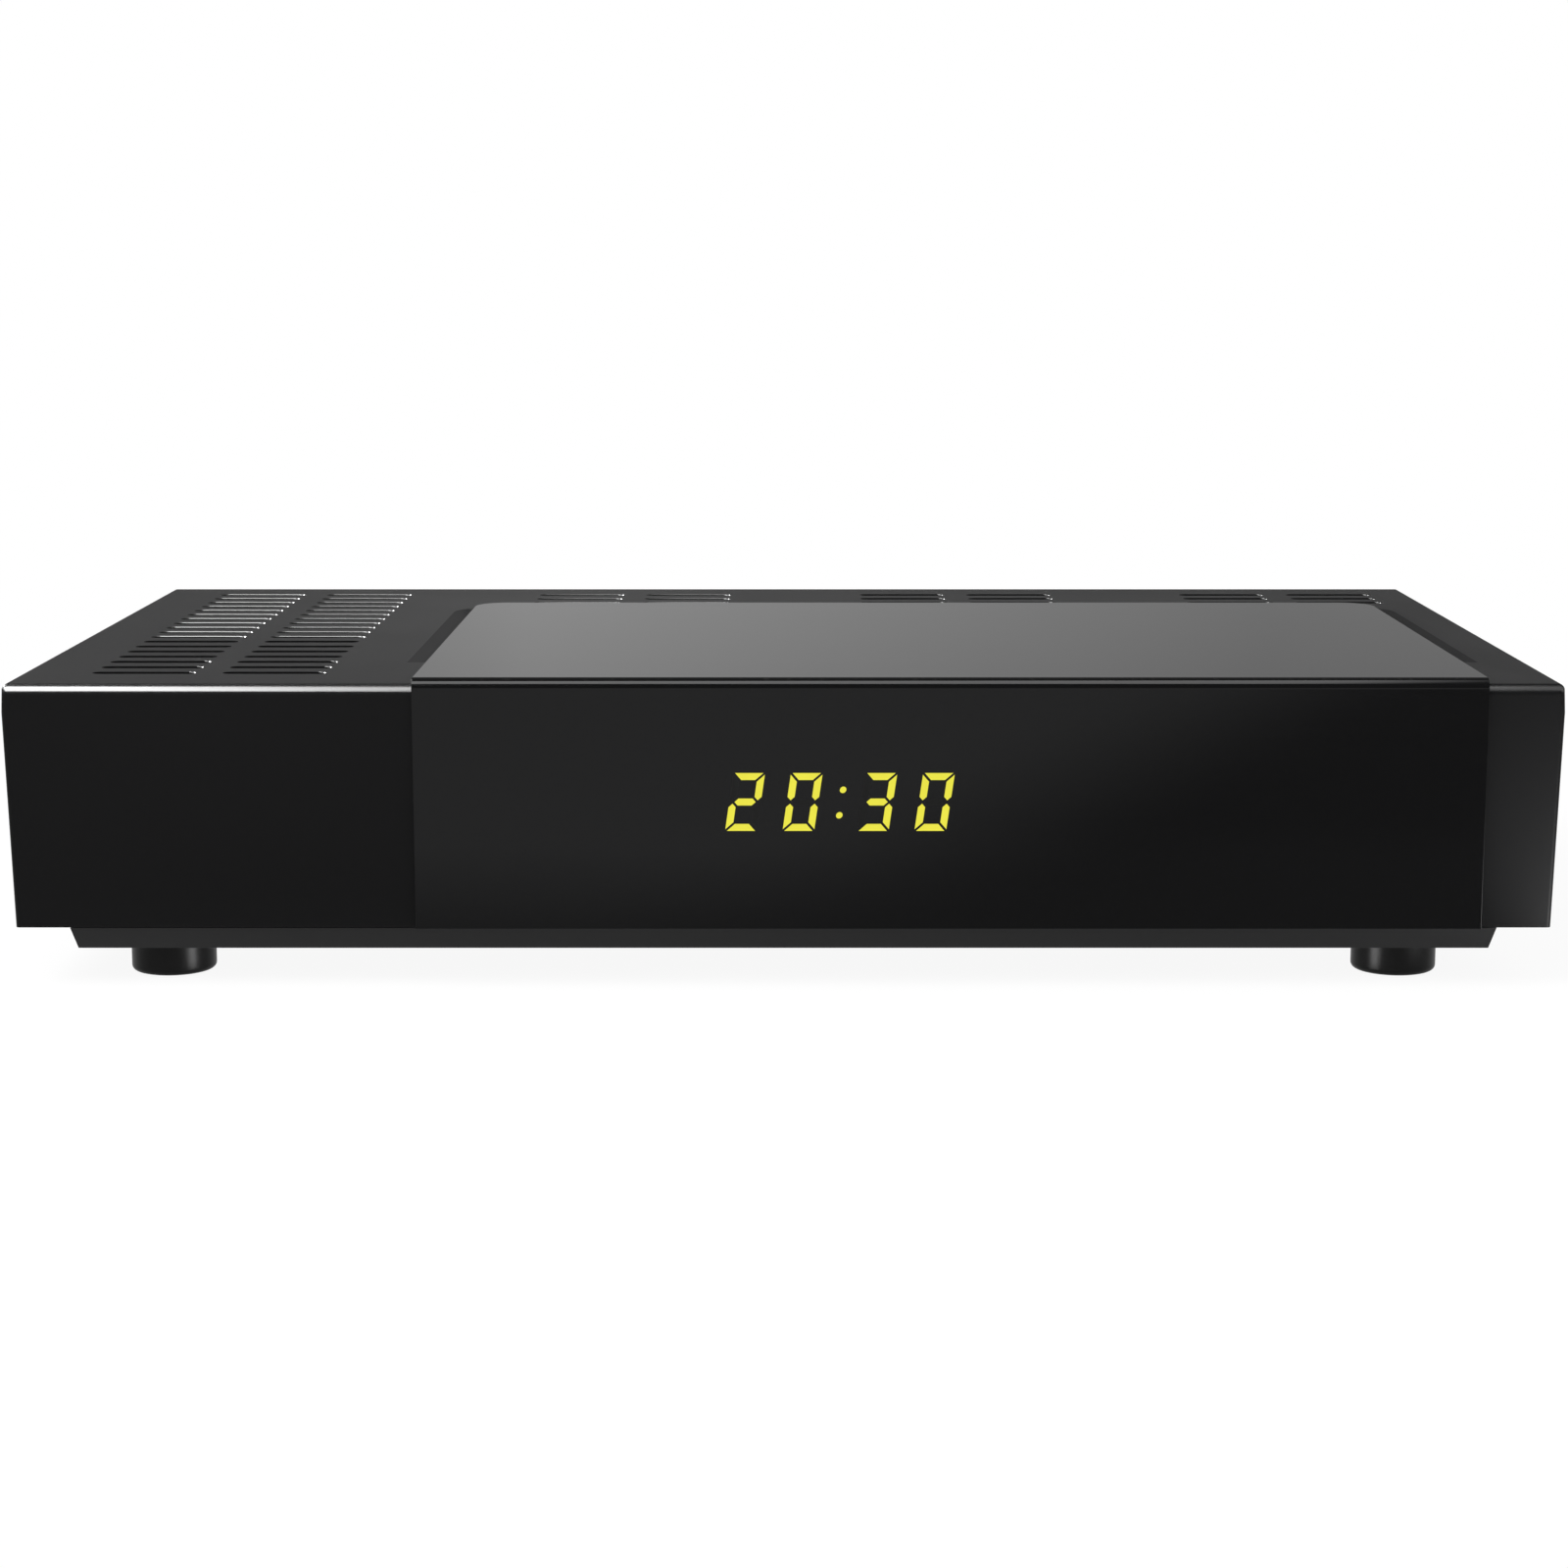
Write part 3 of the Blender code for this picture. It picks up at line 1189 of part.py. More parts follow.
def make_tuner():
    left = ROW["in"] - TUNER_BAY_WIDTH / 2
    right = ROW["out"] + TUNER_BAY_WIDTH / 2
    rear = BOARD_REAR_Y - GAP
    front = rear - TUNER_DEPTH
    top = SEAT_Z + TUNER_HEIGHT
    wall = TUNER_WALL
    can = box("tuner_can", (left, front, SEAT_Z), (right, rear, top))
    hollow_low = (left + wall, front + wall, SEAT_Z + wall)
    cut(can, box("tuner_hollow", hollow_low, (right - wall, rear - wall, top + OVERRUN)))
    paint(can, TINPLATE, 0.35, 1.0)
    lid_low = top + GAP
    lid = box("tuner_lid", (left, front, lid_low), (right, rear, lid_low + TUNER_LID_THICKNESS))
    return paint(lid, TINPLATE, 0.35, 1.0)


def nut_mesh():
    nut = rod("nut", NUT_RADIUS, NUT_THICKNESS, (0, 0, 0), sides=NUT_SIDES)
    hole = rod("nut_hole", AERIAL_RADIUS + GAP, NUT_THICKNESS + 2 * OVERRUN, (0, 0, -OVERRUN))
    cut(nut, hole)
    paint(nut, NICKEL, 0.3, 1.0)
    return settled(nut)


def make_aerial_sockets():
    base = BOARD_REAR_Y
    tip = PANEL_OUT_Y + AERIAL_REACH - base
    floor = tip - AERIAL_BORE_DEPTH
    radius = AERIAL_RADIUS
    bore = AERIAL_BORE_RADIUS
    barrel = [(0, floor), (bore, floor), (bore, tip), (radius - GAP, tip), (radius, tip - GAP)]
    barrel += [(radius, 0), (0, 0)]
    barrel_pattern = turned("barrel", barrel, (0, 0, 0))
    paint(barrel_pattern, NICKEL, 0.3, 1.0)
    barrel_mesh = settled(barrel_pattern)
    low = floor + GAP
    high = tip - AERIAL_INSERT_SINK
    mid = (low + high) / 2
    plug = bore - GAP
    pin_hole = AERIAL_HOLE_RADIUS
    insert = [(0, mid), (pin_hole, mid), (pin_hole, high), (plug, high), (plug, low), (0, low)]
    insert_pattern = turned("insert", insert, (0, 0, 0), sides=SMALL_SIDES)
    paint(insert_pattern, PTFE_WHITE, 0.5)
    insert_mesh = settled(insert_pattern)
    nut = nut_mesh()
    for name in ("in", "out"):
        at = (ROW[name], base, TUNER_AXIS_Z)
        place(f"aerial_socket_{name}", barrel_mesh, at, REARWARD)
        place(f"aerial_insert_{name}", insert_mesh, at, REARWARD)
        place(f"aerial_nut_{name}", nut, (ROW[name], PANEL_OUT_Y + GAP, TUNER_AXIS_Z), REARWARD)


# Circuit board and what it carries

def board_place(name):
    """A place on the board: a share of its half width, and of the depth in front of the sockets."""
    across, along = BOARD_PLACE_SHARES[name]
    return BOARD_HALF * across, BOARD_FRONT_Y + (BOARD_REAR_Y - BOARD_FRONT_Y) * along


def make_board():
    board = box("main_board", (-BOARD_HALF, BOARD_FRONT_Y, BOARD_Z), (BOARD_HALF, BOARD_REAR_Y, BOARD_TOP_Z))
    holes = [
        rod("hole", HOLE_RADIUS, BOARD_THICKNESS + 2 * OVERRUN, (x, y, BOARD_Z - OVERRUN), sides=SCREW_SIDES)
        for x, y in board_screw_places()
    ]
    cut(board, gathered("board_holes", holes))
    return paint(board, BOARD_GREEN, 0.45)


def chip(name, low_x, low_y, size):
    high = (low_x + size[0], low_y + size[1], SEAT_Z + CHIP_HEIGHT)
    return paint(box(name, (low_x, low_y, SEAT_Z), high), CHIP_EPOXY, 0.5)


def make_chips():
    """The processor, with its memory and flash chips on its right."""
    x, y = board_place("processor")
    half = PROCESSOR_SIZE / 2
    beside = x + half + CHIP_SPACE
    chip("processor_chip", x - half, y - half, (PROCESSOR_SIZE, PROCESSOR_SIZE))
    chip("memory_chip", beside, y + CHIP_SPACE / 2, MEMORY_SIZE)
    chip("flash_chip", beside, y - CHIP_SPACE / 2 - FLASH_SIZE[1], FLASH_SIZE)


def make_heat_sink():
    x, y = board_place("processor")
    half = SINK_SIZE / 2
    low = SEAT_Z + CHIP_HEIGHT + GAP
    base = low + SINK_BASE
    sink = box("heat_sink", (x - half, y - half, low), (x + half, y + half, base + FIN_HEIGHT))
    pitch = SINK_SIZE / (FIN_COUNT - 1 + FIN_THICKNESS_SHARE)
    fin = pitch * FIN_THICKNESS_SHARE
    reach = half + OVERRUN
    top = base + FIN_HEIGHT + OVERRUN
    channels = []
    for number in range(FIN_COUNT - 1):
        start = x - half + number * pitch + fin
        channels.append(box("channel", (start, y - reach, base), (start + pitch - fin, y + reach, top)))
    cut(sink, gathered("fin_channels", channels))
    return paint(sink, ALUMINIUM, 0.35, 1.0)


def make_power_parts():
    radius = CAPACITOR_RADIUS
    height = CAPACITOR_HEIGHT
    chamfer = CAPACITOR_CHAMFER
    profile = [(0, height), (radius - chamfer, height), (radius, height - chamfer), (radius, 0), (0, 0)]
    pattern = turned("capacitor", profile, (0, 0, 0), sides=SMALL_SIDES)
    paint(pattern, SLEEVE_BLUE, 0.4)
    mesh = settled(pattern)
    for name in ("capacitor_1", "capacitor_2", "capacitor_3"):
        x, y = board_place(name)
        place(name, mesh, (x, y, SEAT_Z))
    x, y = board_place("coil")
    reach = COIL_SIZE / 2 - COIL_CORNER
    outline = []
    for angle, across, along in ((0, 1, 1), (90, -1, 1), (180, -1, -1), (270, 1, -1)):
        corner_x = x + across * reach
        corner_y = y + along * reach
        outline += arc(corner_x, corner_y, COIL_CORNER, angle, angle + 90, CORNER_SIDES)
    coil = outlined("power_coil", [outline], SEAT_Z, SEAT_Z + COIL_HEIGHT, "top")
    return paint(coil, CHIP_EPOXY, 0.7)


# Front board and display

def digit_loops(left, base):
    """The seven slanted segments of one digit, each with mitred or pointed ends."""
    width = DIGIT_WIDTH
    height = DIGIT_HEIGHT
    bar = SEGMENT_WIDTH
    gap = SEGMENT_BREAK
    middle = height / 2
    top = [(gap, height), (width - gap, height), (width - bar - gap, height - bar), (bar + gap, height - bar)]
    upper = [
        (0, height - gap),
        (bar, height - bar - gap),
        (bar, middle + bar / 2 + gap),
        (bar / 2, middle + gap),
        (0, middle + bar / 2 + gap),
    ]
    centre = [
        (bar / 2 + gap, middle),
        (bar + gap, middle + bar / 2),
        (width - bar - gap, middle + bar / 2),
        (width - bar / 2 - gap, middle),
        (width - bar - gap, middle - bar / 2),
        (bar + gap, middle - bar / 2),
    ]
    upper_right = [(width - x, z) for x, z in upper]
    segments = [top, upper, upper_right, centre]
    segments += [[(x, height - z) for x, z in segment] for segment in (top, upper, upper_right)]
    return [[(left + x + z * DIGIT_SLANT_SHARE, base + z) for x, z in segment] for segment in segments]


def make_display():
    (left, low), (right, high) = display_box()
    face = DISPLAY_FACE_Y + SEGMENT_RELIEF
    display = box("led_display", (left, face, low), (right, FRONT_BOARD_Y - GAP, high))
    loops = []
    starts = (0, DIGIT_PITCH, DIGIT_PITCH + COLON_PITCH, DIGIT_PITCH * 2 + COLON_PITCH)
    for start in starts:
        loops += digit_loops(DISPLAY_LEFT + start, DISPLAY_BASE)
    colon = DISPLAY_LEFT + (starts[1] + starts[2] + DIGIT_WIDTH) / 2
    for share in DOT_HEIGHT_SHARES:
        rise = DIGIT_HEIGHT * share
        loops.append(circle(colon + rise * DIGIT_SLANT_SHARE, DISPLAY_BASE + rise, DOT_RADIUS, SCREW_SIDES))
    fuse(display, outlined("display_segments", loops, DISPLAY_FACE_Y, face + SEGMENT_RELIEF, "front"))
    return paint(display, DISPLAY_GREY, 0.5)


def make_front_board():
    left, right = rail_places()
    low = FLOOR_Z + RAIL_FLOOR + GAP
    board = box(
        "front_board",
        (left - RAIL_WIDTH, FRONT_BOARD_Y, low),
        (right + RAIL_WIDTH, FRONT_BOARD_Y + BOARD_THICKNESS, low + FRONT_BOARD_HEIGHT),
    )
    paint(board, BOARD_GREEN, 0.45)
    x = SENSOR_PLACE
    back = FRONT_BOARD_Y - GAP
    face = FRONT_Y + FRONT_WALL + GAP
    half = SENSOR_SIZE / 2
    sensor = box("remote_sensor", (x - half, face, SENSOR_Z - half), (x + half, back, SENSOR_Z + half))
    lens_front = FRONT_Y + FASCIA_SEAT + LENS_SINK
    lens_length = (face + back) / 2 - lens_front
    lens_at = (x, lens_front, SENSOR_Z)
    fuse(sensor, rod("sensor_lens", SENSOR_LENS_RADIUS, lens_length, lens_at, REARWARD, SMALL_SIDES))
    paint(sensor, SENSOR_EPOXY, 0.3)
    length = back - lens_front
    radius = LAMP_RADIUS
    rim = radius + LAMP_RIM
    rim_at = LAMP_RIM_THICKNESS
    profile = [(0, length), (radius / 2, length), (radius, length - radius / 2), (radius, rim_at)]
    profile += [(rim, rim_at), (rim, 0), (0, 0)]
    lamp = turned("standby_lamp", profile, (LAMP_PLACE, back, SENSOR_Z), FORWARD, SCREW_SIDES)
    return paint(lamp, LAMP_EPOXY, 0.3)


def make_ribbon():
    """A flat ribbon that leaves the back of the front board and turns down onto the main board."""
    x = BOARD_HALF * RIBBON_PLACE_SHARE
    start_y = FRONT_BOARD_Y + BOARD_THICKNESS + GAP
    end_y = BOARD_FRONT_Y + RIBBON_FOOT
    top_z = SEAT_Z + RIBBON_DROP
    outer = (end_y - start_y) / 2
    inner = outer - RIBBON_THICKNESS
    middle_y = (start_y + end_y) / 2
    bend_z = top_z - outer
    section = [(start_y, top_z - RIBBON_THICKNESS), (start_y, top_z)]
    section += arc(end_y - outer, bend_z, outer, 90, 0, CORNER_SIDES)
    section += [(end_y, SEAT_Z), (end_y - RIBBON_THICKNESS, SEAT_Z)]
    section += arc(end_y - outer, bend_z, inner, 0, 90, CORNER_SIDES)
    half = RIBBON_WIDTH / 2
    ribbon = outlined("ribbon_cable", [section], x - half, x + half, "side")
    return paint(ribbon, RIBBON_GREY, 0.6)


make_cover()
make_fascia()
make_tray()
make_feet()
make_rear_panel()
make_screws()
make_board()
make_chips()
make_heat_sink()
make_power_parts()
make_tuner()
make_aerial_sockets()
make_hdmi()
make_usb()
make_remote_socket()
make_phono_sockets()
make_scart()
make_power_socket()
make_switch()
make_switch_leads()
make_front_board()
make_display()
make_ribbon()
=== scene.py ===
import json
import math

import bmesh
import bpy
from mathutils import Matrix, Vector
from mathutils.geometry import interpolate_bezier

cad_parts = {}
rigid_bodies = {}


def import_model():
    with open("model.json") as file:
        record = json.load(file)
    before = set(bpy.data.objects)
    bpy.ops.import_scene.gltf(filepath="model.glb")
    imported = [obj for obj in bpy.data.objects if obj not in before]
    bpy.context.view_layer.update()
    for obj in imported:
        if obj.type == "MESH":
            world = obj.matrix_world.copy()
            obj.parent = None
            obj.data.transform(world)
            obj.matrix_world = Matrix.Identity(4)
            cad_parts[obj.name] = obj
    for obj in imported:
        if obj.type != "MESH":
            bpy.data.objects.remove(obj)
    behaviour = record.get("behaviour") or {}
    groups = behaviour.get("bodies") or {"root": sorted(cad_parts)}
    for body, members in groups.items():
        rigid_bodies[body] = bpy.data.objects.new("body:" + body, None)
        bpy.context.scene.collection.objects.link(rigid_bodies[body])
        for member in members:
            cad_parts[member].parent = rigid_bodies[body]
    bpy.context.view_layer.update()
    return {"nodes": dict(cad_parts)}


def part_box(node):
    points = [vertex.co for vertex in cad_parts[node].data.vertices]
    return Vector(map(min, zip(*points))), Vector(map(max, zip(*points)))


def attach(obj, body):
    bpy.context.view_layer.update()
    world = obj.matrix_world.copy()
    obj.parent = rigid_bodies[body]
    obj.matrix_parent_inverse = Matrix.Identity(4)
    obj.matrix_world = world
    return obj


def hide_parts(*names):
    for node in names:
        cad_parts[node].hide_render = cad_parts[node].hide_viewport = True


for leftover in list(bpy.data.objects):
    bpy.data.objects.remove(leftover, do_unlink=True)
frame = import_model()

# The cover is the upper shell of the case, one moulding of satin black ABS. Its top has four groups
# of vent slots with softened lips and a shallow seat for the fascia, which widens into a channel on
# each side of it. It drops over the tray and is held from below by four screws.

MM = 0.001
FRONT = -68 * MM
REAR = 59 * MM
FOOT_OF_COVER = 8.5 * MM
TOP = 43.3 * MM
CEILING = 41.3 * MM
SHOULDER = 39.3 * MM
WALL = 2 * MM
FRONT_WALL = 2.4 * MM
CLOSE_FIT = 0.04 * MM
OVERRUN = 1 * MM
NEAR = 0.01 * MM
HALF_FOOT = 109.1 * MM
HALF_SHOULDER = 110 * MM
HALF_TOP = 109.8 * MM
FRONT_EDGE = 1.5 * MM
SIDE_EDGE_SHARE = 0.45
FASCIA_LEFT = -52.1 * MM
FASCIA_RIGHT = 98.95 * MM
FASCIA_BACK = 28.2 * MM
SEAT_DEPTH = 1 * MM
SEAT_BACK = FASCIA_BACK - 6 * MM
CASE_SCREWS = [(x * MM, y * MM) for y in (-54, 29) for x in (-103.4, 103.4)]
LUG_PLACES = (-58.96 * MM, 58.96 * MM)
BLACK_ABS = (0.0045, 0.0045, 0.0047)
DUST = (0.30, 0.29, 0.27)


def mm(*points):
    """Points that are written in millimetres, in metres."""
    return [tuple(length * MM for length in point) for point in points]


def mesh_of(name, bm):
    """The built mesh under its name, with its faces turned outwards."""
    bmesh.ops.recalc_face_normals(bm, faces=bm.faces)
    mesh = bpy.data.meshes.new(name)
    bm.to_mesh(mesh)
    bm.free()
    return mesh


def loft(name, rings):
    """A closed solid through rings of equally many points."""
    bm = bmesh.new()
    layers = [[bm.verts.new(point) for point in ring] for ring in rings]
    count = len(rings[0])
    for near, far in zip(layers, layers[1:]):
        for i in range(count):
            j = (i + 1) % count
            bm.faces.new((near[i], near[j], far[j], far[i]))
    bm.faces.new(layers[0])
    bm.faces.new(layers[-1])
    return mesh_of(name, bm)


def block(name, low, high):
    """A solid between two corners, made to be cut or softened."""
    (x0, y0, z0), (x1, y1, z1) = low, high
    return loft(name, [[(x0, y0, z), (x1, y0, z), (x1, y1, z), (x0, y1, z)] for z in (z0, z1)])


def turned(name, profile, sides=48, ring=False):
    """A solid turned about its Z axis through (radius, height) points.

    They start and end on the axis, or else go round the section of a ring."""
    bm = bmesh.new()
    line = [bm.verts.new((radius, 0, height)) for radius, height in profile]
    following = line[1:] + line[:1] if ring else line[1:]
    edges = [bm.edges.new(pair) for pair in zip(line, following)]
    around = {"axis": (0, 0, 1), "cent": (0, 0, 0), "angle": math.tau, "steps": sides}
    bmesh.ops.spin(bm, geom=line + edges, use_merge=True, **around)
    bmesh.ops.remove_doubles(bm, verts=bm.verts, dist=0.001 * MM)
    return mesh_of(name, bm)


def rod(name, radius, length, sides=48):
    """A plain round solid, made to be cut or joined."""
    return turned(name, [(0, 0), (radius, 0), (radius, length), (0, length)], sides)


def arc(across, along, radius, start, end, steps):
    """Points along an arc, from one angle to another in degrees."""
    angles = [math.radians(start + (end - start) * step / steps) for step in range(steps + 1)]
    return [(across + radius * math.cos(a), along + radius * math.sin(a)) for a in angles]


def joined(name, meshes):
    """Meshes that lie apart, as the bodies of one tool or piece."""
    bm = bmesh.new()
    for mesh in meshes:
        bm.from_mesh(mesh)
    return mesh_of(name, bm)


def moved(mesh, matrix):
    """A copy of the mesh, laid where the matrix puts it."""
    copy = mesh.copy()
    copy.transform(matrix)
    return copy


def facing_rear(x, y, z):
    """A turned piece's own axis laid along +Y, from this place."""
    return Matrix.Translation((x, y, z)) @ Matrix.Rotation(-math.pi / 2, 4, "X")


def evaluated(obj):
    """The object's mesh with its modifiers applied."""
    graph = bpy.context.evaluated_depsgraph_get()
    return bpy.data.meshes.new_from_object(obj.evaluated_get(graph))


def machined(name, mesh, cuts=(), unions=(), commons=()):
    """The mesh with unions added, kept only where commons are, and with cuts taken away, in that order."""
    work = bpy.data.objects.new(name + "_work", mesh)
    bpy.context.collection.objects.link(work)
    tools = []
    for operation, meshes in (("UNION", unions), ("INTERSECT", commons), ("DIFFERENCE", cuts)):
        for tool_mesh in meshes:
            tool = bpy.data.objects.new(name + "_tool", tool_mesh)
            bpy.context.collection.objects.link(tool)
            modifier = work.modifiers.new(tool.name, "BOOLEAN")
            modifier.operation = operation
            modifier.object = tool
            modifier.solver = "EXACT"
            tools.append(tool)
    result = evaluated(work)
    result.name = name
    for helper in [work, *tools]:
        bpy.data.objects.remove(helper, do_unlink=True)
    return result


def add(tree, kind, inputs=None, **settings):
    """A shader node with its settings, and its inputs set or joined to other nodes' outputs."""
    node = tree.nodes.new("ShaderNode" + kind)
    for key, value in settings.items():
        setattr(node, key, value)
    for key, value in (inputs or {}).items():
        if isinstance(value, bpy.types.NodeSocket):
            tree.links.new(value, node.inputs[key])
        else:
            node.inputs[key].default_value = value
    return node


def maths(tree, operation, first, second):
    """A sum on two values or outputs."""
    return add(tree, "Math", {0: first, 1: second}, operation=operation).outputs[0]


def ramp(tree, value, start, end, low=0.0, high=1.0, kind="LINEAR"):
    """A value's way from start to end, turned into the way from low to high and held there."""
    spread = {"Value": value, "From Min": start, "From Max": end, "To Min": low, "To Max": high}
    return add(tree, "MapRange", spread, interpolation_type=kind).outputs["Result"]


def effect_group(name, inputs, outputs):
    """A shader node group with plain number inputs, ready to be filled."""
    tree = bpy.data.node_groups.new(name, "ShaderNodeTree")
    for label, value in inputs.items():
        socket = tree.interface.new_socket(label, in_out="INPUT", socket_type="NodeSocketFloat")
        socket.default_value = value
    for label in outputs:
        tree.interface.new_socket(label, in_out="OUTPUT", socket_type="NodeSocketFloat")
    return tree, tree.nodes.new("NodeGroupInput"), tree.nodes.new("NodeGroupOutput")


def mould_grain_group():
    """The fine spark grain of a mould's steel, and the broad uneven gloss of a large moulding."""
    scales = {"Grain Scale": 2600, "Patch Scale": 18}
    tree, given, out = effect_group("mould_grain", scales, ("Height", "Patch"))
    place = add(tree, "TexCoord").outputs["Object"]
    fine = add(tree, "TexNoise", {"Vector": place, "Scale": given.outputs["Grain Scale"], "Detail": 2.5})
    broad = add(tree, "TexNoise", {"Vector": place, "Scale": given.outputs["Patch Scale"], "Detail": 2})
    tree.links.new(fine.outputs["Fac"], out.inputs["Height"])
    tree.links.new(broad.outputs["Fac"], out.inputs["Patch"])
    return tree


def dust_group():
    """Thin dust that settles on faces that look up, in uneven specks."""
    tree, given, out = effect_group("settled_dust", {"Speck Scale": 900, "Amount": 0.1}, ("Mask",))
    place = add(tree, "TexCoord").outputs["Object"]
    normal = add(tree, "NewGeometry").outputs["Normal"]
    upward = add(tree, "SeparateXYZ", {"Vector": normal}).outputs["Z"]
    specks = add(tree, "TexNoise", {"Vector": place, "Scale": given.outputs["Speck Scale"], "Detail": 4})
    sparse = ramp(tree, specks.outputs["Fac"], 0.56, 0.72)
    settled = maths(tree, "MULTIPLY", ramp(tree, upward, 0.6, 1.0), sparse)
    tree.links.new(maths(tree, "MULTIPLY", settled, given.outputs["Amount"]), out.inputs["Mask"])
    return tree


def painted_edge_sheen_group():
    """The edges of a part, where its colour is painted lighter as a sheen."""
    tree, given, out = effect_group("painted_edge_sheen", {"Width": 0.3 * MM}, ("Mask",))
    rounded = add(tree, "Bevel", {"Radius": given.outputs["Width"]}, samples=4)
    flat = add(tree, "NewGeometry").outputs["Normal"]
    dot = add(tree, "VectorMath", {0: rounded.outputs["Normal"], 1: flat}, operation="DOT_PRODUCT")
    tree.links.new(ramp(tree, dot.outputs["Value"], 0.99, 0.85), out.inputs["Mask"])
    return tree


def polished_rounding_group():
    """The rounded upper edges of a moulding, which hands and cloths have polished."""
    tree, given, out = effect_group("polished_rounding", {"Start": 0.95, "Full": 0.90}, ("Mask",))
    normal = add(tree, "NewGeometry").outputs["Normal"]
    sizes = add(tree, "VectorMath", {0: normal}, operation="ABSOLUTE").outputs["Vector"]
    parts = add(tree, "SeparateXYZ", {"Vector": sizes}).outputs
    widest = maths(tree, "MAXIMUM", maths(tree, "MAXIMUM", parts["X"], parts["Y"]), parts["Z"])
    rounding = ramp(tree, widest, given.outputs["Start"], given.outputs["Full"])
    upward = add(tree, "SeparateXYZ", {"Vector": normal}).outputs["Z"]
    handled = ramp(tree, upward, 0.1, 0.3)
    tree.links.new(maths(tree, "MULTIPLY", rounding, handled), out.inputs["Mask"])
    return tree


MOULD_GRAIN = mould_grain_group()
SETTLED_DUST = dust_group()
PAINTED_EDGE_SHEEN = painted_edge_sheen_group()
POLISHED_ROUNDING = polished_rounding_group()


def new_finish(name, constants):
    """A material whose shader has these plain values."""
    material = bpy.data.materials.new(name)
    material.use_nodes = True
    shader = material.node_tree.nodes["Principled BSDF"]
    for key, value in constants.items():
        shader.inputs[key].default_value = (*value, 1) if isinstance(value, tuple) else value
    return material, material.node_tree


def blend_colour(tree, mask, first, second):
    """The first colour where the mask is 0 and the second where it is 1."""
    mix = add(tree, "Mix", {"Factor": mask}, data_type="RGBA")
    for socket, colour in ((mix.inputs[6], first), (mix.inputs[7], second)):
        if isinstance(colour, bpy.types.NodeSocket):
            tree.links.new(colour, socket)
        else:
            socket.default_value = (*colour, 1)
    return mix.outputs[2]


def surfaced(material, base, source, low, high, height, depth):
    """The material with its colour, its roughness from low to high, and its relief of this depth.

    The roughness follows its source between 0.3 and 0.7, as noise does."""
    tree = material.node_tree
    bump = add(tree, "Bump", {"Height": height, "Distance": depth, "Strength": 1.0}).outputs["Normal"]
    spread = ramp(tree, source, 0.3, 0.7, low, high)
    for label, output in (("Base Color", base), ("Roughness", spread), ("Normal", bump)):
        tree.links.new(output, tree.nodes["Principled BSDF"].inputs[label])
    return material


def moulded(name, colour, gloss, grain_scale=2600, grain_depth=0.004 * MM, level=0.5, dust=0.0):
    """A moulded plastic: spark grain, uneven gloss, edges painted lighter as a sheen, and a trace of dust."""
    material, tree = new_finish(name, {"Specular IOR Level": level})
    grain = add(tree, "Group", {"Grain Scale": grain_scale}, node_tree=MOULD_GRAIN)
    painted_rim_sheen = add(tree, "Group", {"Width": 0.25 * MM}, node_tree=PAINTED_EDGE_SHEEN).outputs["Mask"]
    specks = add(tree, "Group", {"Amount": dust}, node_tree=SETTLED_DUST).outputs["Mask"]
    darker, lighter = (tuple(channel * share for channel in colour) for share in (0.86, 1.14))
    # The rim colour is a painted sheen: the plastic's own colour made lighter along its edges.
    rim = tuple(min(1.0, channel * 1.25 + 0.001) for channel in colour)
    base = blend_colour(tree, grain.outputs["Patch"], darker, lighter)
    base = blend_colour(tree, painted_rim_sheen, base, rim)
    base = blend_colour(tree, specks, base, DUST)
    patch, height = grain.outputs["Patch"], grain.outputs["Height"]
    return surfaced(material, base, patch, gloss * 0.94, gloss * 1.06, height, grain_depth)


def soften(obj, width, segments=2, angle=32):
    """Rounds the sharp edges a little and keeps the flats flat."""
    if width:
        bevel = obj.modifiers.new("softened edges", "BEVEL")
        bevel.width = width
        bevel.segments = segments
        bevel.limit_method = "ANGLE"
        bevel.angle_limit = math.radians(angle)
        bevel.harden_normals = False
    flats = obj.modifiers.new("flat faces", "WEIGHTED_NORMAL")
    flats.keep_sharp = True
    flats.weight = 80


def piece(name, mesh, finish, stands_for=None, body="case", at=None, edge=0.0, sharp=38):
    """A finished piece of the receiver, on its body and in its material slot."""
    mesh.materials.clear()
    mesh.materials.append(finish)
    mesh.shade_smooth()
    if not edge:
        mesh.set_sharp_from_angle(angle=math.radians(sharp))
    obj = bpy.data.objects.new(name, mesh)
    obj.matrix_world = at or Matrix.Identity(4)
    bpy.context.collection.objects.link(obj)
    soften(obj, edge)
    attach(obj, body)
    if stands_for:
        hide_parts(stands_for)
    return obj


def cover_section(inset, foot):
    """The cover seen from the front, drawn in by the inset and reaching down to its foot."""
    right = [(HALF_FOOT - inset, foot), (HALF_SHOULDER - inset, SHOULDER), (HALF_TOP - inset, TOP - inset)]
    return right + [(-x, z) for x, z in reversed(right)]


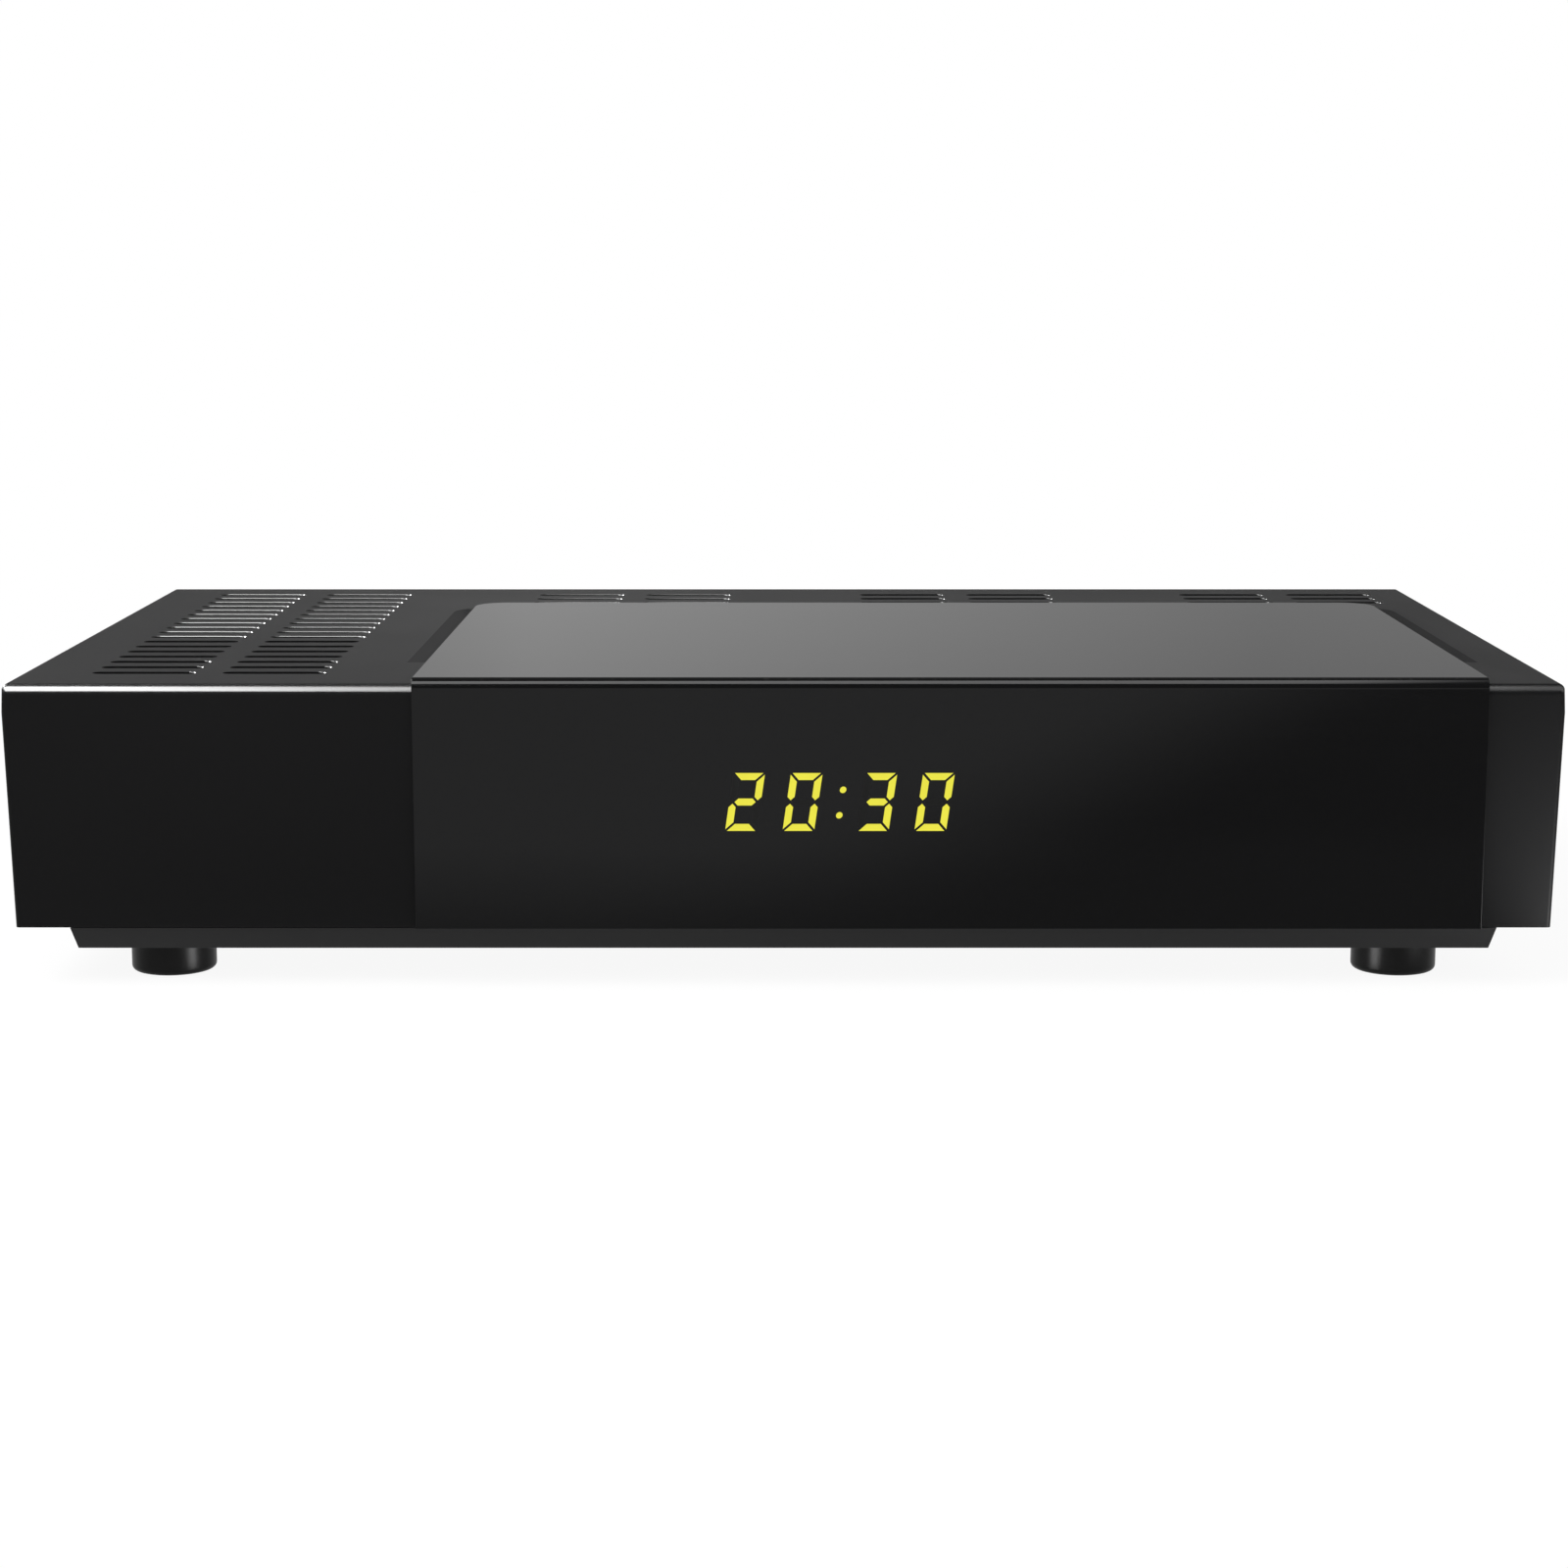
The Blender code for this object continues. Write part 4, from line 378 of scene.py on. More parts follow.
def cover_blank():
    """The outer form of the cover, with its rounded edges and without its openings."""
    section = cover_section(0, FOOT_OF_COVER)
    mesh = loft("cover_blank", [[(x, y, z) for x, z in section] for y in (FRONT, REAR)])
    blank = bpy.data.objects.new("cover_blank", mesh)
    bpy.context.collection.objects.link(blank)
    bm = bmesh.new()
    bm.from_mesh(mesh)
    weights = bm.edges.layers.float.new("bevel_weight_edge")
    for edge in bm.edges:
        a, b = (vert.co for vert in edge.verts)
        front = max(a.y, b.y) < FRONT + NEAR
        top = min(a.z, b.z) > TOP - NEAR
        foot = max(a.z, b.z) < FOOT_OF_COVER + NEAR
        if front and top:
            edge[weights] = 1
        elif (front and not foot) or (top and abs(a.y - b.y) > NEAR):
            edge[weights] = SIDE_EDGE_SHARE
    bm.to_mesh(mesh)
    bm.free()
    rounding = blank.modifiers.new("rounding", "BEVEL")
    rounding.limit_method = "WEIGHT"
    rounding.width = FRONT_EDGE
    rounding.segments = 10
    result = evaluated(blank)
    bpy.data.objects.remove(blank, do_unlink=True)
    return result


SLOT_LENGTH = 14.75 * MM
SLOT_WIDTH = 2.3 * MM
SLOT_PITCH = 6.16 * MM
SLOT_ROWS = 18
FIRST_ROW = 12.8 * MM
REAR_ROWS_FROM = 100.95 * MM
LEFT_GROUP = -82.9028 * MM
RIGHT_GROUP = 86.086 * MM
SLOT_OFFSET = 9.385 * MM
WIDEST_LIP = 0.38 * MM
SOFT_LIP = 0.13 * MM
CRISP_LIP = 0.03 * MM
CRISP_ROWS = (3, 4, 5, 6)
LIP_STEPS = 6
END_STEP = 18


def slot_tool(x, y, lip, end_lip):
    """One vent slot, with round ends and a lip that is fullest at its right end.

    A crisp lip is rounded all round. A soft one is a chamfer along the slot, rounded at its right end."""
    reach = (SLOT_LENGTH - SLOT_WIDTH) / 2
    corners = []
    for angle in range(-90, 91, END_STEP):
        corners.append((x + reach, angle, lip + (end_lip - lip) * math.cos(math.radians(angle))))
    corners += [(x - reach, angle, lip) for angle in range(90, 271, END_STEP)]
    depths = [WIDEST_LIP * (1 - math.sin(math.pi / 2 * step / LIP_STEPS)) for step in range(LIP_STEPS + 1)]
    rings = []
    for z in (CEILING - OVERRUN, *(TOP - depth for depth in depths), TOP + OVERRUN):
        ring = []
        for centre, angle, roll in corners:
            drop = min(max(TOP - z, 0.0), roll)
            turn = math.radians(angle)
            rounded = 1.0 if lip == CRISP_LIP else max(math.cos(turn), 0.0) * (centre > x)
            chamfer = roll - drop
            opening = chamfer + rounded * (drop - math.sqrt(roll * roll - chamfer * chamfer))
            radius = SLOT_WIDTH / 2 + opening
            ring.append((centre + radius * math.cos(turn), y + radius * math.sin(turn), z))
        rings.append(ring)
    return loft("slot", rings)


def slot_places():
    """The slots of the long left group and of the three short groups along the rear edge."""
    places = []
    for group in range(4):
        middle = LEFT_GROUP + (RIGHT_GROUP - LEFT_GROUP) * group / 3
        for row in range(SLOT_ROWS):
            depth = FIRST_ROW + SLOT_PITCH * row
            lip = SOFT_LIP if row > CRISP_ROWS[-1] and group < 2 else CRISP_LIP
            end_lip = CRISP_LIP if row in CRISP_ROWS else WIDEST_LIP
            if group == 0 or depth > REAR_ROWS_FROM:
                places += [(middle + side * SLOT_OFFSET, FRONT + depth, lip, end_lip) for side in (-1, 1)]
    return places


CHANNEL_FRONT = FRONT + 24.5 * MM
CHANNEL_CORNER = 6.6 * MM
CHANNEL_FLOOR = (TOP - 1.02 * MM, 0.4 * MM, -2.4 * MM)
CHANNEL_RIM = (3.6 * MM, 1.3 * MM)


def channel_tool():
    """The shallow slope from the top of the cover down to the sides and corners of the fascia."""
    rings = []
    for z, out, back in (CHANNEL_FLOOR, (TOP, *CHANNEL_RIM), (TOP + OVERRUN, *CHANNEL_RIM)):
        left = FASCIA_LEFT - out
        right = FASCIA_RIGHT + out
        far = FASCIA_BACK + back - CHANNEL_CORNER
        outline = arc(right - CHANNEL_CORNER, far, CHANNEL_CORNER, 0, 90, 12)
        outline += arc(left + CHANNEL_CORNER, far, CHANNEL_CORNER, 90, 180, 12)
        outline += [(left, CHANNEL_FRONT), (right, CHANNEL_FRONT)]
        rings.append([(x, y, z) for x, y in outline])
    return loft("channel", rings)


def seat_tool():
    """The fascia's seat in the top and front of the cover."""
    left = FASCIA_LEFT - CLOSE_FIT
    right = FASCIA_RIGHT + CLOSE_FIT
    over = TOP + OVERRUN
    top_seat = block("top_seat", (left, FRONT - OVERRUN, TOP - SEAT_DEPTH), (right, SEAT_BACK, over))
    front_low = (left, FRONT - OVERRUN, FOOT_OF_COVER - OVERRUN)
    return [top_seat, block("front_seat", front_low, (right, FRONT + SEAT_DEPTH, over))]


OPENING_DEPTH = 4 * MM
EYE_HEIGHT = 26.84 * MM
SENSOR_HOLE = (42 * MM, 2.5 * MM)
LAMP_HOLE = (52 * MM, 1.8 * MM)
BOSS_FOOT = 11.5 * MM
BOSS_HEIGHT = 30.8 * MM
BOSS_RADIUS = 2.9 * MM
LUG_LOW, LUG_HIGH = mm((-3.5, 50.3, 34.3), (3.5, 57.3, 42))
BLASTED_LEFT = -57 * MM
BLASTED_RIGHT = 104 * MM
BLASTED_BACK = 30 * MM
SLOPING = (0.9, 0.995)

hollow_rings = [[(x, y, z) for x, z in cover_section(WALL, FOOT_OF_COVER - OVERRUN)]
                for y in (FRONT + FRONT_WALL, REAR + OVERRUN)]
window = block("window", *mm((-12.5, -68, 18.2), (28.9, -64, 35.5)))
eyes = [moved(rod("eye", radius, OPENING_DEPTH), facing_rear(x, FRONT, EYE_HEIGHT))
        for x, radius in (SENSOR_HOLE, LAMP_HOLE)]
boss = rod("boss", BOSS_RADIUS, BOSS_HEIGHT, 32)
bosses = [moved(boss, Matrix.Translation((x, y, BOSS_FOOT))) for x, y in CASE_SCREWS]
lug = block("lug", LUG_LOW, LUG_HIGH)
lugs = [moved(lug, Matrix.Translation((x, 0, 0))) for x in LUG_PLACES]
cover_mesh = machined(
    "cover_shell",
    cover_blank(),
    cuts=[
        loft("hollow", hollow_rings),
        channel_tool(),
        *seat_tool(),
        joined("slots", [slot_tool(*place) for place in slot_places()]),
        joined("front_openings", [window, *eyes]),
    ],
)
cover_mesh = machined("cover_shell", cover_mesh, unions=[joined("bosses_and_lugs", bosses + lugs)])
satin_abs = moulded("satin_black_abs", BLACK_ABS, 0.34, level=0.065, dust=0.03)
abs_tree = satin_abs.node_tree
abs_shader = abs_tree.nodes["Principled BSDF"]
abs_shader.inputs["Coat Roughness"].default_value = 0.22
polish = add(abs_tree, "Group", node_tree=POLISHED_ROUNDING).outputs["Mask"]
abs_tree.links.new(polish, abs_shader.inputs["Coat Weight"])
cover = piece("cover_shell", cover_mesh, satin_abs, "upper_housing", sharp=30)
blasted_abs = moulded("blasted_black_abs", BLACK_ABS, 0.48, grain_scale=1800, level=0.052)
cover.data.materials.append(blasted_abs)
# The slopes of the channel are blasted a little coarser than the rest of the cover.
for face in cover.data.polygons:
    x, y, z = face.center
    beside = BLASTED_LEFT < x < FASCIA_LEFT or FASCIA_RIGHT < x < BLASTED_RIGHT
    if beside and SLOPING[0] < face.normal.z < SLOPING[1] and z > SHOULDER and y < BLASTED_BACK:
        face.material_index = 1

# The fascia is one piece of smoked acrylic, bent from the front of the case onto its top, with a
# polished face, rounded front edge and two rounded rear corners. It is bonded into its seat and stands
# a millimetre proud of the cover all round.

FASCIA_FRONT = -69 * MM
FASCIA_TOP = 44.3 * MM
FASCIA_THICKNESS = 1.7 * MM
FASCIA_CORNER = 5.3 * MM


def fascia_section():
    """The fascia seen from its end: a front leg and a top leg that meet in a rounded edge."""
    inner_y = FASCIA_FRONT + FASCIA_THICKNESS
    inner_z = FASCIA_TOP - FASCIA_THICKNESS
    legs = [(inner_y, FOOT_OF_COVER), (inner_y, inner_z), (FASCIA_BACK, inner_z), (FASCIA_BACK, FASCIA_TOP)]
    outer = arc(FASCIA_FRONT + FRONT_EDGE, FASCIA_TOP - FRONT_EDGE, FRONT_EDGE, 90, 180, 12)
    return [*legs, *outer, (FASCIA_FRONT, FOOT_OF_COVER)]


def fascia_blank():
    """The bent sheet with its two rounded rear corners."""
    ends = [[(x, y, z) for y, z in fascia_section()] for x in (FASCIA_LEFT, FASCIA_RIGHT)]
    bm = bmesh.new()
    bm.from_mesh(loft("fascia_blank", ends))
    corners = []
    for edge in bm.edges:
        a, b = (vert.co for vert in edge.verts)
        if min(a.y, b.y) > FASCIA_BACK - NEAR and abs(a.z - b.z) > NEAR:
            corners.append(edge)
    bmesh.ops.bevel(bm, geom=corners, affect="EDGES", offset=FASCIA_CORNER, segments=14, profile=0.5)
    return mesh_of("fascia_skin", bm)


def hairline_group():
    """Very fine wipe marks, long in one direction and broken up."""
    tree, given, out = effect_group("hairlines", {"Line Scale": 900, "Stretch": 0.02, "Turn": 0.0}, ("Mask",))
    place = add(tree, "TexCoord").outputs["Object"]
    turn = add(tree, "CombineXYZ", {"Z": given.outputs["Turn"]}).outputs["Vector"]
    squeeze = add(tree, "CombineXYZ", {"X": given.outputs["Stretch"], "Y": 1.0, "Z": 1.0}).outputs["Vector"]
    laid = add(tree, "Mapping", {"Vector": place, "Rotation": turn, "Scale": squeeze}).outputs["Vector"]
    lines = add(tree, "TexNoise", {"Vector": laid, "Scale": given.outputs["Line Scale"], "Detail": 3})
    tree.links.new(lines.outputs["Fac"], out.inputs["Mask"])
    return tree


HAIRLINES = hairline_group()


def smoked_acrylic_finish():
    """Polished near-black acrylic: faint wipe marks, a slow ripple in the sheet and hardly any dust."""
    material, tree = new_finish("smoked_acrylic", {"Specular IOR Level": 0.2})
    grain = add(tree, "Group", {"Grain Scale": 120, "Patch Scale": 9}, node_tree=MOULD_GRAIN)
    wiped = add(tree, "Group", {"Line Scale": 700, "Turn": 0.5}, node_tree=HAIRLINES).outputs["Mask"]
    dust = add(tree, "Group", {"Speck Scale": 1400, "Amount": 0.04}, node_tree=SETTLED_DUST)
    base = blend_colour(tree, grain.outputs["Patch"], (0.0026, 0.0026, 0.0028), (0.0034, 0.0034, 0.0036))
    base = blend_colour(tree, dust.outputs["Mask"], base, DUST)
    return surfaced(material, base, wiped, 0.055, 0.085, grain.outputs["Height"], 0.0012 * MM)


smoked_acrylic = smoked_acrylic_finish()
piece("fascia_skin", fascia_blank(), smoked_acrylic, "fascia_panel", edge=0.04 * MM)

# The clock shows through the smoked acrylic: seven-segment digits that lean to the right, with a
# colon of two round dots. The lit bars are amber-yellow light, and the unlit ones are just visible.

DIGIT_WIDTH = 4.46 * MM
DIGIT_HEIGHT = 8.27 * MM
DIGIT_SLANT = 0.145
BAR = 1.0 * MM
BREAK = 0.24 * MM
CLOCK_LEFT = -8.2 * MM
CLOCK_BASE = 22.64 * MM
DIGIT_STARTS = (0.0, 8.1 * MM, 18.6 * MM, 26.7 * MM)
LIT_BARS = {2: "abged", 0: "abcdef", 3: "abgcd"}
LIT_PROUD = 0.03 * MM
UNLIT_PROUD = 0.012 * MM
DOT_RADIUS = 0.46 * MM
DOT_HEIGHT_SHARES = (0.27, 0.71)
DOT_SHIFT = 0.2 * MM


def bar_outlines():
    """The seven bars of one upright digit, by their usual letters."""
    width, height, middle = DIGIT_WIDTH, DIGIT_HEIGHT, DIGIT_HEIGHT / 2
    half = BAR / 2
    inner = BAR + BREAK
    top = [(BREAK, height), (width - BREAK, height), (width - inner, height - BAR), (inner, height - BAR)]
    upper_left = [(0, height - BREAK), (BAR, height - inner), (BAR, middle + half + BREAK),
                  (half, middle + BREAK), (0, middle + half + BREAK)]
    centre = [(half + BREAK, middle), (inner, middle + half), (width - inner, middle + half),
              (width - half - BREAK, middle), (width - inner, middle - half), (inner, middle - half)]
    upper_right = [(width - x, z) for x, z in upper_left]
    below = [[(x, height - z) for x, z in outline] for outline in (top, upper_left, upper_right)]
    return dict(zip("afbgdec", [top, upper_left, upper_right, centre, *below]))


def bar_solid(outline, left, proud):
    """A thin bar on the fascia's face, leaning to the right."""
    leaning = [(CLOCK_LEFT + left + x + z * DIGIT_SLANT, CLOCK_BASE + z) for x, z in outline]
    depths = (FASCIA_FRONT + 0.1 * MM, FASCIA_FRONT - proud)
    return loft("bar", [[(x, y, z) for x, z in leaning] for y in depths])


def clock_light_finish():
    """Light from the display's film: even across a bar, with the faint speckle of its diffuser."""
    film = {"Base Color": (0.02, 0.02, 0.01), "Roughness": 0.5, "Specular IOR Level": 0.1}
    material, tree = new_finish("clock_light", {**film, "Emission Strength": 1.0})
    grain = add(tree, "Group", {"Grain Scale": 3000, "Patch Scale": 260}, node_tree=MOULD_GRAIN)
    glow = blend_colour(tree, grain.outputs["Patch"], (0.74, 0.69, 0.040), (0.88, 0.83, 0.062))
    tree.links.new(glow, tree.nodes["Principled BSDF"].inputs["Emission Color"])
    return material


lit = []
unlit = []
for digit, left in zip((2, 0, 3, 0), DIGIT_STARTS):
    for letter, outline in bar_outlines().items():
        if letter in LIT_BARS[digit]:
            lit.append(bar_solid(outline, left, LIT_PROUD))
        else:
            unlit.append(bar_solid(outline, left, UNLIT_PROUD))
colon = (DIGIT_STARTS[1] + DIGIT_STARTS[2] + DIGIT_WIDTH) / 2 + DOT_SHIFT
for share in DOT_HEIGHT_SHARES:
    dot = arc(colon, share * DIGIT_HEIGHT, DOT_RADIUS, 0, 360, 20)[:-1]
    lit.append(bar_solid(dot, 0.0, LIT_PROUD))
unlit_film = moulded("unlit_display_film", (0.0035, 0.0035, 0.0033), 0.30, grain_scale=3000, level=0.2)
piece("clock_lit_bars", joined("clock_lit_bars", lit), clock_light_finish())
piece("clock_unlit_bars", joined("clock_unlit_bars", unlit), unlit_film)

# The tray is the lower shell, moulded in the same ABS with a coarser grain. Its skirt leans in
# towards the ground, its floor carries the board, and the cover's front and sides hang around it.


def dress(node, finish, edge=0.0, segments=2, angle=40):
    """Gives a CAD node its finish, closes the seams of its faces and softens its edges."""
    obj = frame["nodes"][node]
    for material_slot in obj.material_slots:
        material_slot.material = finish
    weld = obj.modifiers.new("closed seams", "WELD")
    weld.merge_threshold = 0.002 * MM
    soften(obj, edge, segments, angle)


tray_abs = moulded("grained_black_abs", (0.0065, 0.0065, 0.0068), 0.45, 1500, 0.012 * MM, level=0.25)
dress("lower_housing", tray_abs, edge=0.3 * MM, segments=3, angle=50)

# The four feet are round discs of black rubber, pressed into round seats in the tray. Each has a
# rounded lower edge and a shallow ring moulded into its underside.

FOOT_X = 89 * MM
FOOT_YS = {"front": -56 * MM, "rear": 47 * MM}
foot_profile = mm((0, 5.6), (6.0, 5.6), (6.1, 5.4), (6.1, 0.9))
foot_profile += arc(5.3 * MM, 0.8 * MM, 0.8 * MM, 0, -90, 8)
foot_profile += mm((4.4, 0), (4.2, 0.25), (3.4, 0.25), (3.2, 0), (0, 0))
foot_mesh = turned("foot", foot_profile, 64)
foot_rubber = moulded("foot_rubber", (0.0060, 0.0060, 0.0060), 0.38, 1800, 0.003 * MM, level=0.10, dust=0.2)
for end, y in FOOT_YS.items():
    for side, x in (("left", -FOOT_X), ("right", FOOT_X)):
        at = Matrix.Translation((x, y, 0))
        piece(f"rubber_{end}_{side}", foot_mesh, foot_rubber, f"foot_{end}_{side}", at=at)

# The rear panel is punched from thin sheet steel and powder coated black. It slides in behind the
# tray's flange and is held at the top by two screws into the cover's lugs.

PANEL_IN = 57.6 * MM
PANEL_OUT = 58.6 * MM
FITTING_GAP = 0.3 * MM


def powder_coat_finish():
    """Powder coat: an orange-peel skin over steel, with its punched edges painted lighter as a sheen."""
    material, tree = new_finish("black_powder_coat", {"Specular IOR Level": 0.4})
    peel = add(tree, "Group", {"Grain Scale": 900, "Patch Scale": 30}, node_tree=MOULD_GRAIN)
    painted_rim_sheen = add(tree, "Group", {"Width": 0.12 * MM}, node_tree=PAINTED_EDGE_SHEEN).outputs["Mask"]
    base = blend_colour(tree, peel.outputs["Patch"], (0.012, 0.012, 0.0125), (0.017, 0.017, 0.018))
    # Painted sheen: the punched edges are coloured lighter than the coat.
    base = blend_colour(tree, painted_rim_sheen, base, (0.035, 0.035, 0.037))
    return surfaced(material, base, peel.outputs["Patch"], 0.42, 0.52, peel.outputs["Height"], 0.02 * MM)


dress("rear_panel", powder_coat_finish(), edge=0.12 * MM)

# The screws are zinc-plated steel with domed heads and a cross recess. Long ones hold the case from
# below, and short ones hold the board and the rear panel.


def plated_finish(name, dark, light, low, high, scale=260, stretch=1.0):
    """A bright plated metal, slightly uneven in tone, with fine working marks."""
    material, tree = new_finish(name, {"Metallic": 1.0})
    cloud = add(tree, "Group", {"Grain Scale": 4000, "Patch Scale": scale}, node_tree=MOULD_GRAIN)
    marks = add(tree, "Group", {"Line Scale": 4000, "Stretch": stretch}, node_tree=HAIRLINES).outputs["Mask"]
    base = blend_colour(tree, cloud.outputs["Patch"], dark, light)
    return surfaced(material, base, marks, low, high, marks, 0.002 * MM)


def cross_tools(reach, half, low, high):
    """The two arms of a cross, from one height to another, to be cut into a head or a top."""
    arms = ((reach, half), (half, reach))
    return [block("arm", (-across, -along, low), (across, along, high)) for across, along in arms]


def screw_mesh(name, length):
    """A screw whose head stands on zero and whose thread, this many millimetres long, hangs below."""
    profile = mm((0, 1.3), (0.9, 1.26), (1.66, 1.05), (2.12, 0.66), (2.3, 0.3), (2.3, 0.06), (2.22, 0))
    profile += mm((1.0, 0))
    for turn in range(int((length - 1.6) / 0.5)):
        z = -0.4 - turn * 0.5
        profile += mm((1.0, z), (1.25, z - 0.2), (1.25, z - 0.26), (1.0, z - 0.46))
    profile += mm((1.0, 1.0 - length), (0.3, -length), (0, -length))
    recess = cross_tools(1.2 * MM, 0.32 * MM, 0.55 * MM, 2 * MM)
    return machined(name, turned(name, profile, 36), cuts=recess)


zinc = plated_finish("bright_zinc", (0.50, 0.51, 0.53), (0.66, 0.67, 0.68), 0.24, 0.40)
short_screw = screw_mesh("short_screw", 5.2)
long_screw = screw_mesh("long_screw", 8)
CASE_SCREW_SEAT = 9.5 * MM
BOARD_SCREW_SEAT = 13.3 * MM
LUG_AXIS = 37.8 * MM
BOARD_SCREWS = [(x * MM, y * MM) for y in (-42, 19) for x in (-93, 93)]
head_down = Matrix.Rotation(math.pi, 4, "X")
for number, (x, y) in enumerate(CASE_SCREWS, 1):
    at = Matrix.Translation((x, y, CASE_SCREW_SEAT)) @ head_down @ Matrix.Rotation(0.35 * number, 4, "Z")
    piece(f"long_screw_{number}", long_screw, zinc, f"case_screw_{number}", at=at)
for number, (x, y) in enumerate(BOARD_SCREWS, 1):
    at = Matrix.Translation((x, y, BOARD_SCREW_SEAT)) @ Matrix.Rotation(0.5 * number, 4, "Z")
    piece(f"short_screw_{number}", short_screw, zinc, f"board_screw_{number}", at=at)
for side, x in zip(("left", "right"), LUG_PLACES):
    at = facing_rear(x, PANEL_OUT + FITTING_GAP, LUG_AXIS) @ Matrix.Rotation(x * 7, 4, "Z")
    piece(f"rear_screw_{side}", short_screw, zinc, f"panel_screw_{side}", at=at)

# The rocker switch is black nylon: a snapped-in body with a raised bezel, and a polished rocker that
# tilts between its two ends. The usual line and circle are printed on the rocker in white.

ROCKER_AT = (-99.2 * MM, PANEL_OUT, 25.9 * MM)
ROCKER_AT_REST = math.radians(-10)
FACE_MIDDLE = (2.15 * MM, 2.8 * MM)
FACE_SLOPE = math.atan2(0.9, 5.6)

switch_nylon = moulded("switch_nylon", (0.010, 0.010, 0.0105), 0.30, 3500, 0.002 * MM, level=0.45)
dress("switch_body", switch_nylon, edge=0.25 * MM, segments=3)
rocker_nylon = moulded("rocker_nylon", (0.009, 0.009, 0.0095), 0.16, 4000, 0.001 * MM)
dress("power_rocker", rocker_nylon, edge=0.3 * MM, segments=3)


def rocker_face(side):
    """The middle of the rocker's upper (1) or lower (-1) face, turned with that face."""
    hinge = Matrix.Translation(ROCKER_AT) @ Matrix.Rotation(ROCKER_AT_REST, 4, "X")
    out, up = FACE_MIDDLE
    lean = Matrix.Rotation(-side * FACE_SLOPE, 4, "X")
    return hinge @ Matrix.Translation((0, out, side * up)) @ lean


mark_white = moulded("printed_white", (0.62, 0.62, 0.60), 0.5, 2500, level=0.4)
line = block("rocker_line", *mm((-0.18, -0.05, -1.0), (0.18, 0.03, 1.0)))
piece("rocker_line", line, mark_white, body="rocker", at=rocker_face(-1), edge=0.02 * MM)
circle_section = mm((1.05, -0.05), (1.05, 0.03), (0.74, 0.03), (0.74, -0.05))
circle = moved(turned("rocker_circle", circle_section, 40, ring=True), facing_rear(0, 0, 0))
piece("rocker_circle", circle, mark_white, body="rocker", at=rocker_face(1))

# Two leads run from the switch to the board: stranded copper in red and in black vinyl, soldered at
# both ends.

LEAD_RADIUS = 0.8 * MM
LEAD_BEND = 7 * MM
LEAD_STEPS = 28
TAG_END = 46.3 * MM
TAG_HEIGHT = 3.237 * MM
LANDING_X = -93 * MM
LANDING_HEIGHT = 13.4 * MM


def vinyl_finish(name, colour):
    """Soft vinyl insulation, slightly uneven in tone and gloss."""
    material, tree = new_finish(name, {"Specular IOR Level": 0.45})
    grain = add(tree, "Group", {"Grain Scale": 1600, "Patch Scale": 90}, node_tree=MOULD_GRAIN)
    base = blend_colour(tree, grain.outputs["Patch"], tuple(channel * 0.8 for channel in colour), colour)
    return surfaced(material, base, grain.outputs["Patch"], 0.36, 0.5, grain.outputs["Height"], 0.01 * MM)


def lead_curve(name, side, landing, finish, node):
    """A round insulated lead on the route of its solid, from a tag of the switch down to the board."""
    start = Vector((ROCKER_AT[0], TAG_END, ROCKER_AT[2] + side * TAG_HEIGHT))
    end = Vector((LANDING_X, landing, LANDING_HEIGHT))
    inward, upward = Vector((0, -LEAD_BEND, 0)), Vector((0, 0, LEAD_BEND))
    points = interpolate_bezier(start, start + inward, end + upward, end, LEAD_STEPS)
    rings = []
    for i, point in enumerate(points):
        along = (points[min(i + 1, LEAD_STEPS - 1)] - points[max(i - 1, 0)]).normalized()
        across = along.cross(Vector((1, 0, 0))).normalized()
        third = along.cross(across)
        rings.append([point + across * c + third * s for c, s in arc(0, 0, LEAD_RADIUS, 0, 360, 16)[:-1]])
    piece(name, loft(name, rings), finish, node)


red_vinyl = vinyl_finish("red_vinyl", (0.42, 0.025, 0.02))
black_vinyl = vinyl_finish("black_vinyl", (0.016, 0.016, 0.017))
lead_curve("red_lead", 1, 28.8 * MM, red_vinyl, "switch_lead_a")
lead_curve("black_lead", -1, 35.8 * MM, black_vinyl, "switch_lead_b")

# The power inlet is a nylon moulding whose round nose comes through the panel, with a nickel-plated
# centre pin. The small remote-sensor socket beside the audio sockets is made in the same way.

INLET_AXIS = (-84.27 * MM, 18.8 * MM)
JACK_AXIS = (22.08 * MM, 16.5 * MM)
NOSE_TIP = PANEL_OUT + 0.6 * MM
BODY_BACK = PANEL_IN - FITTING_GAP
MOUTH_ROUNDING = 0.3 * MM


def jack_mesh(name, low, high, axis, nose, nose_start, bore, bore_depth):
    """A box-shaped socket body with a round nose, a rounded mouth and a bore."""
    x, z = axis
    soft = MOUTH_ROUNDING
    length = NOSE_TIP - nose_start
    outer = [(0, 0), (nose, 0), *arc(nose - soft, length - soft, soft, 0, 90, 5), (0, length)]
    over = bore_depth + OVERRUN
    mouth = [(bore, bore_depth - soft), (bore + soft, bore_depth), (bore + soft, over)]
    nose_mesh = moved(turned("nose", outer), facing_rear(x, nose_start, z))
    bore_mesh = turned("bore", [(0, 0), (bore, 0), *mouth, (0, over)])
    bore_mesh = moved(bore_mesh, facing_rear(x, NOSE_TIP - bore_depth, z))
    return machined(name, block(name, low, high), cuts=[bore_mesh], unions=[nose_mesh])


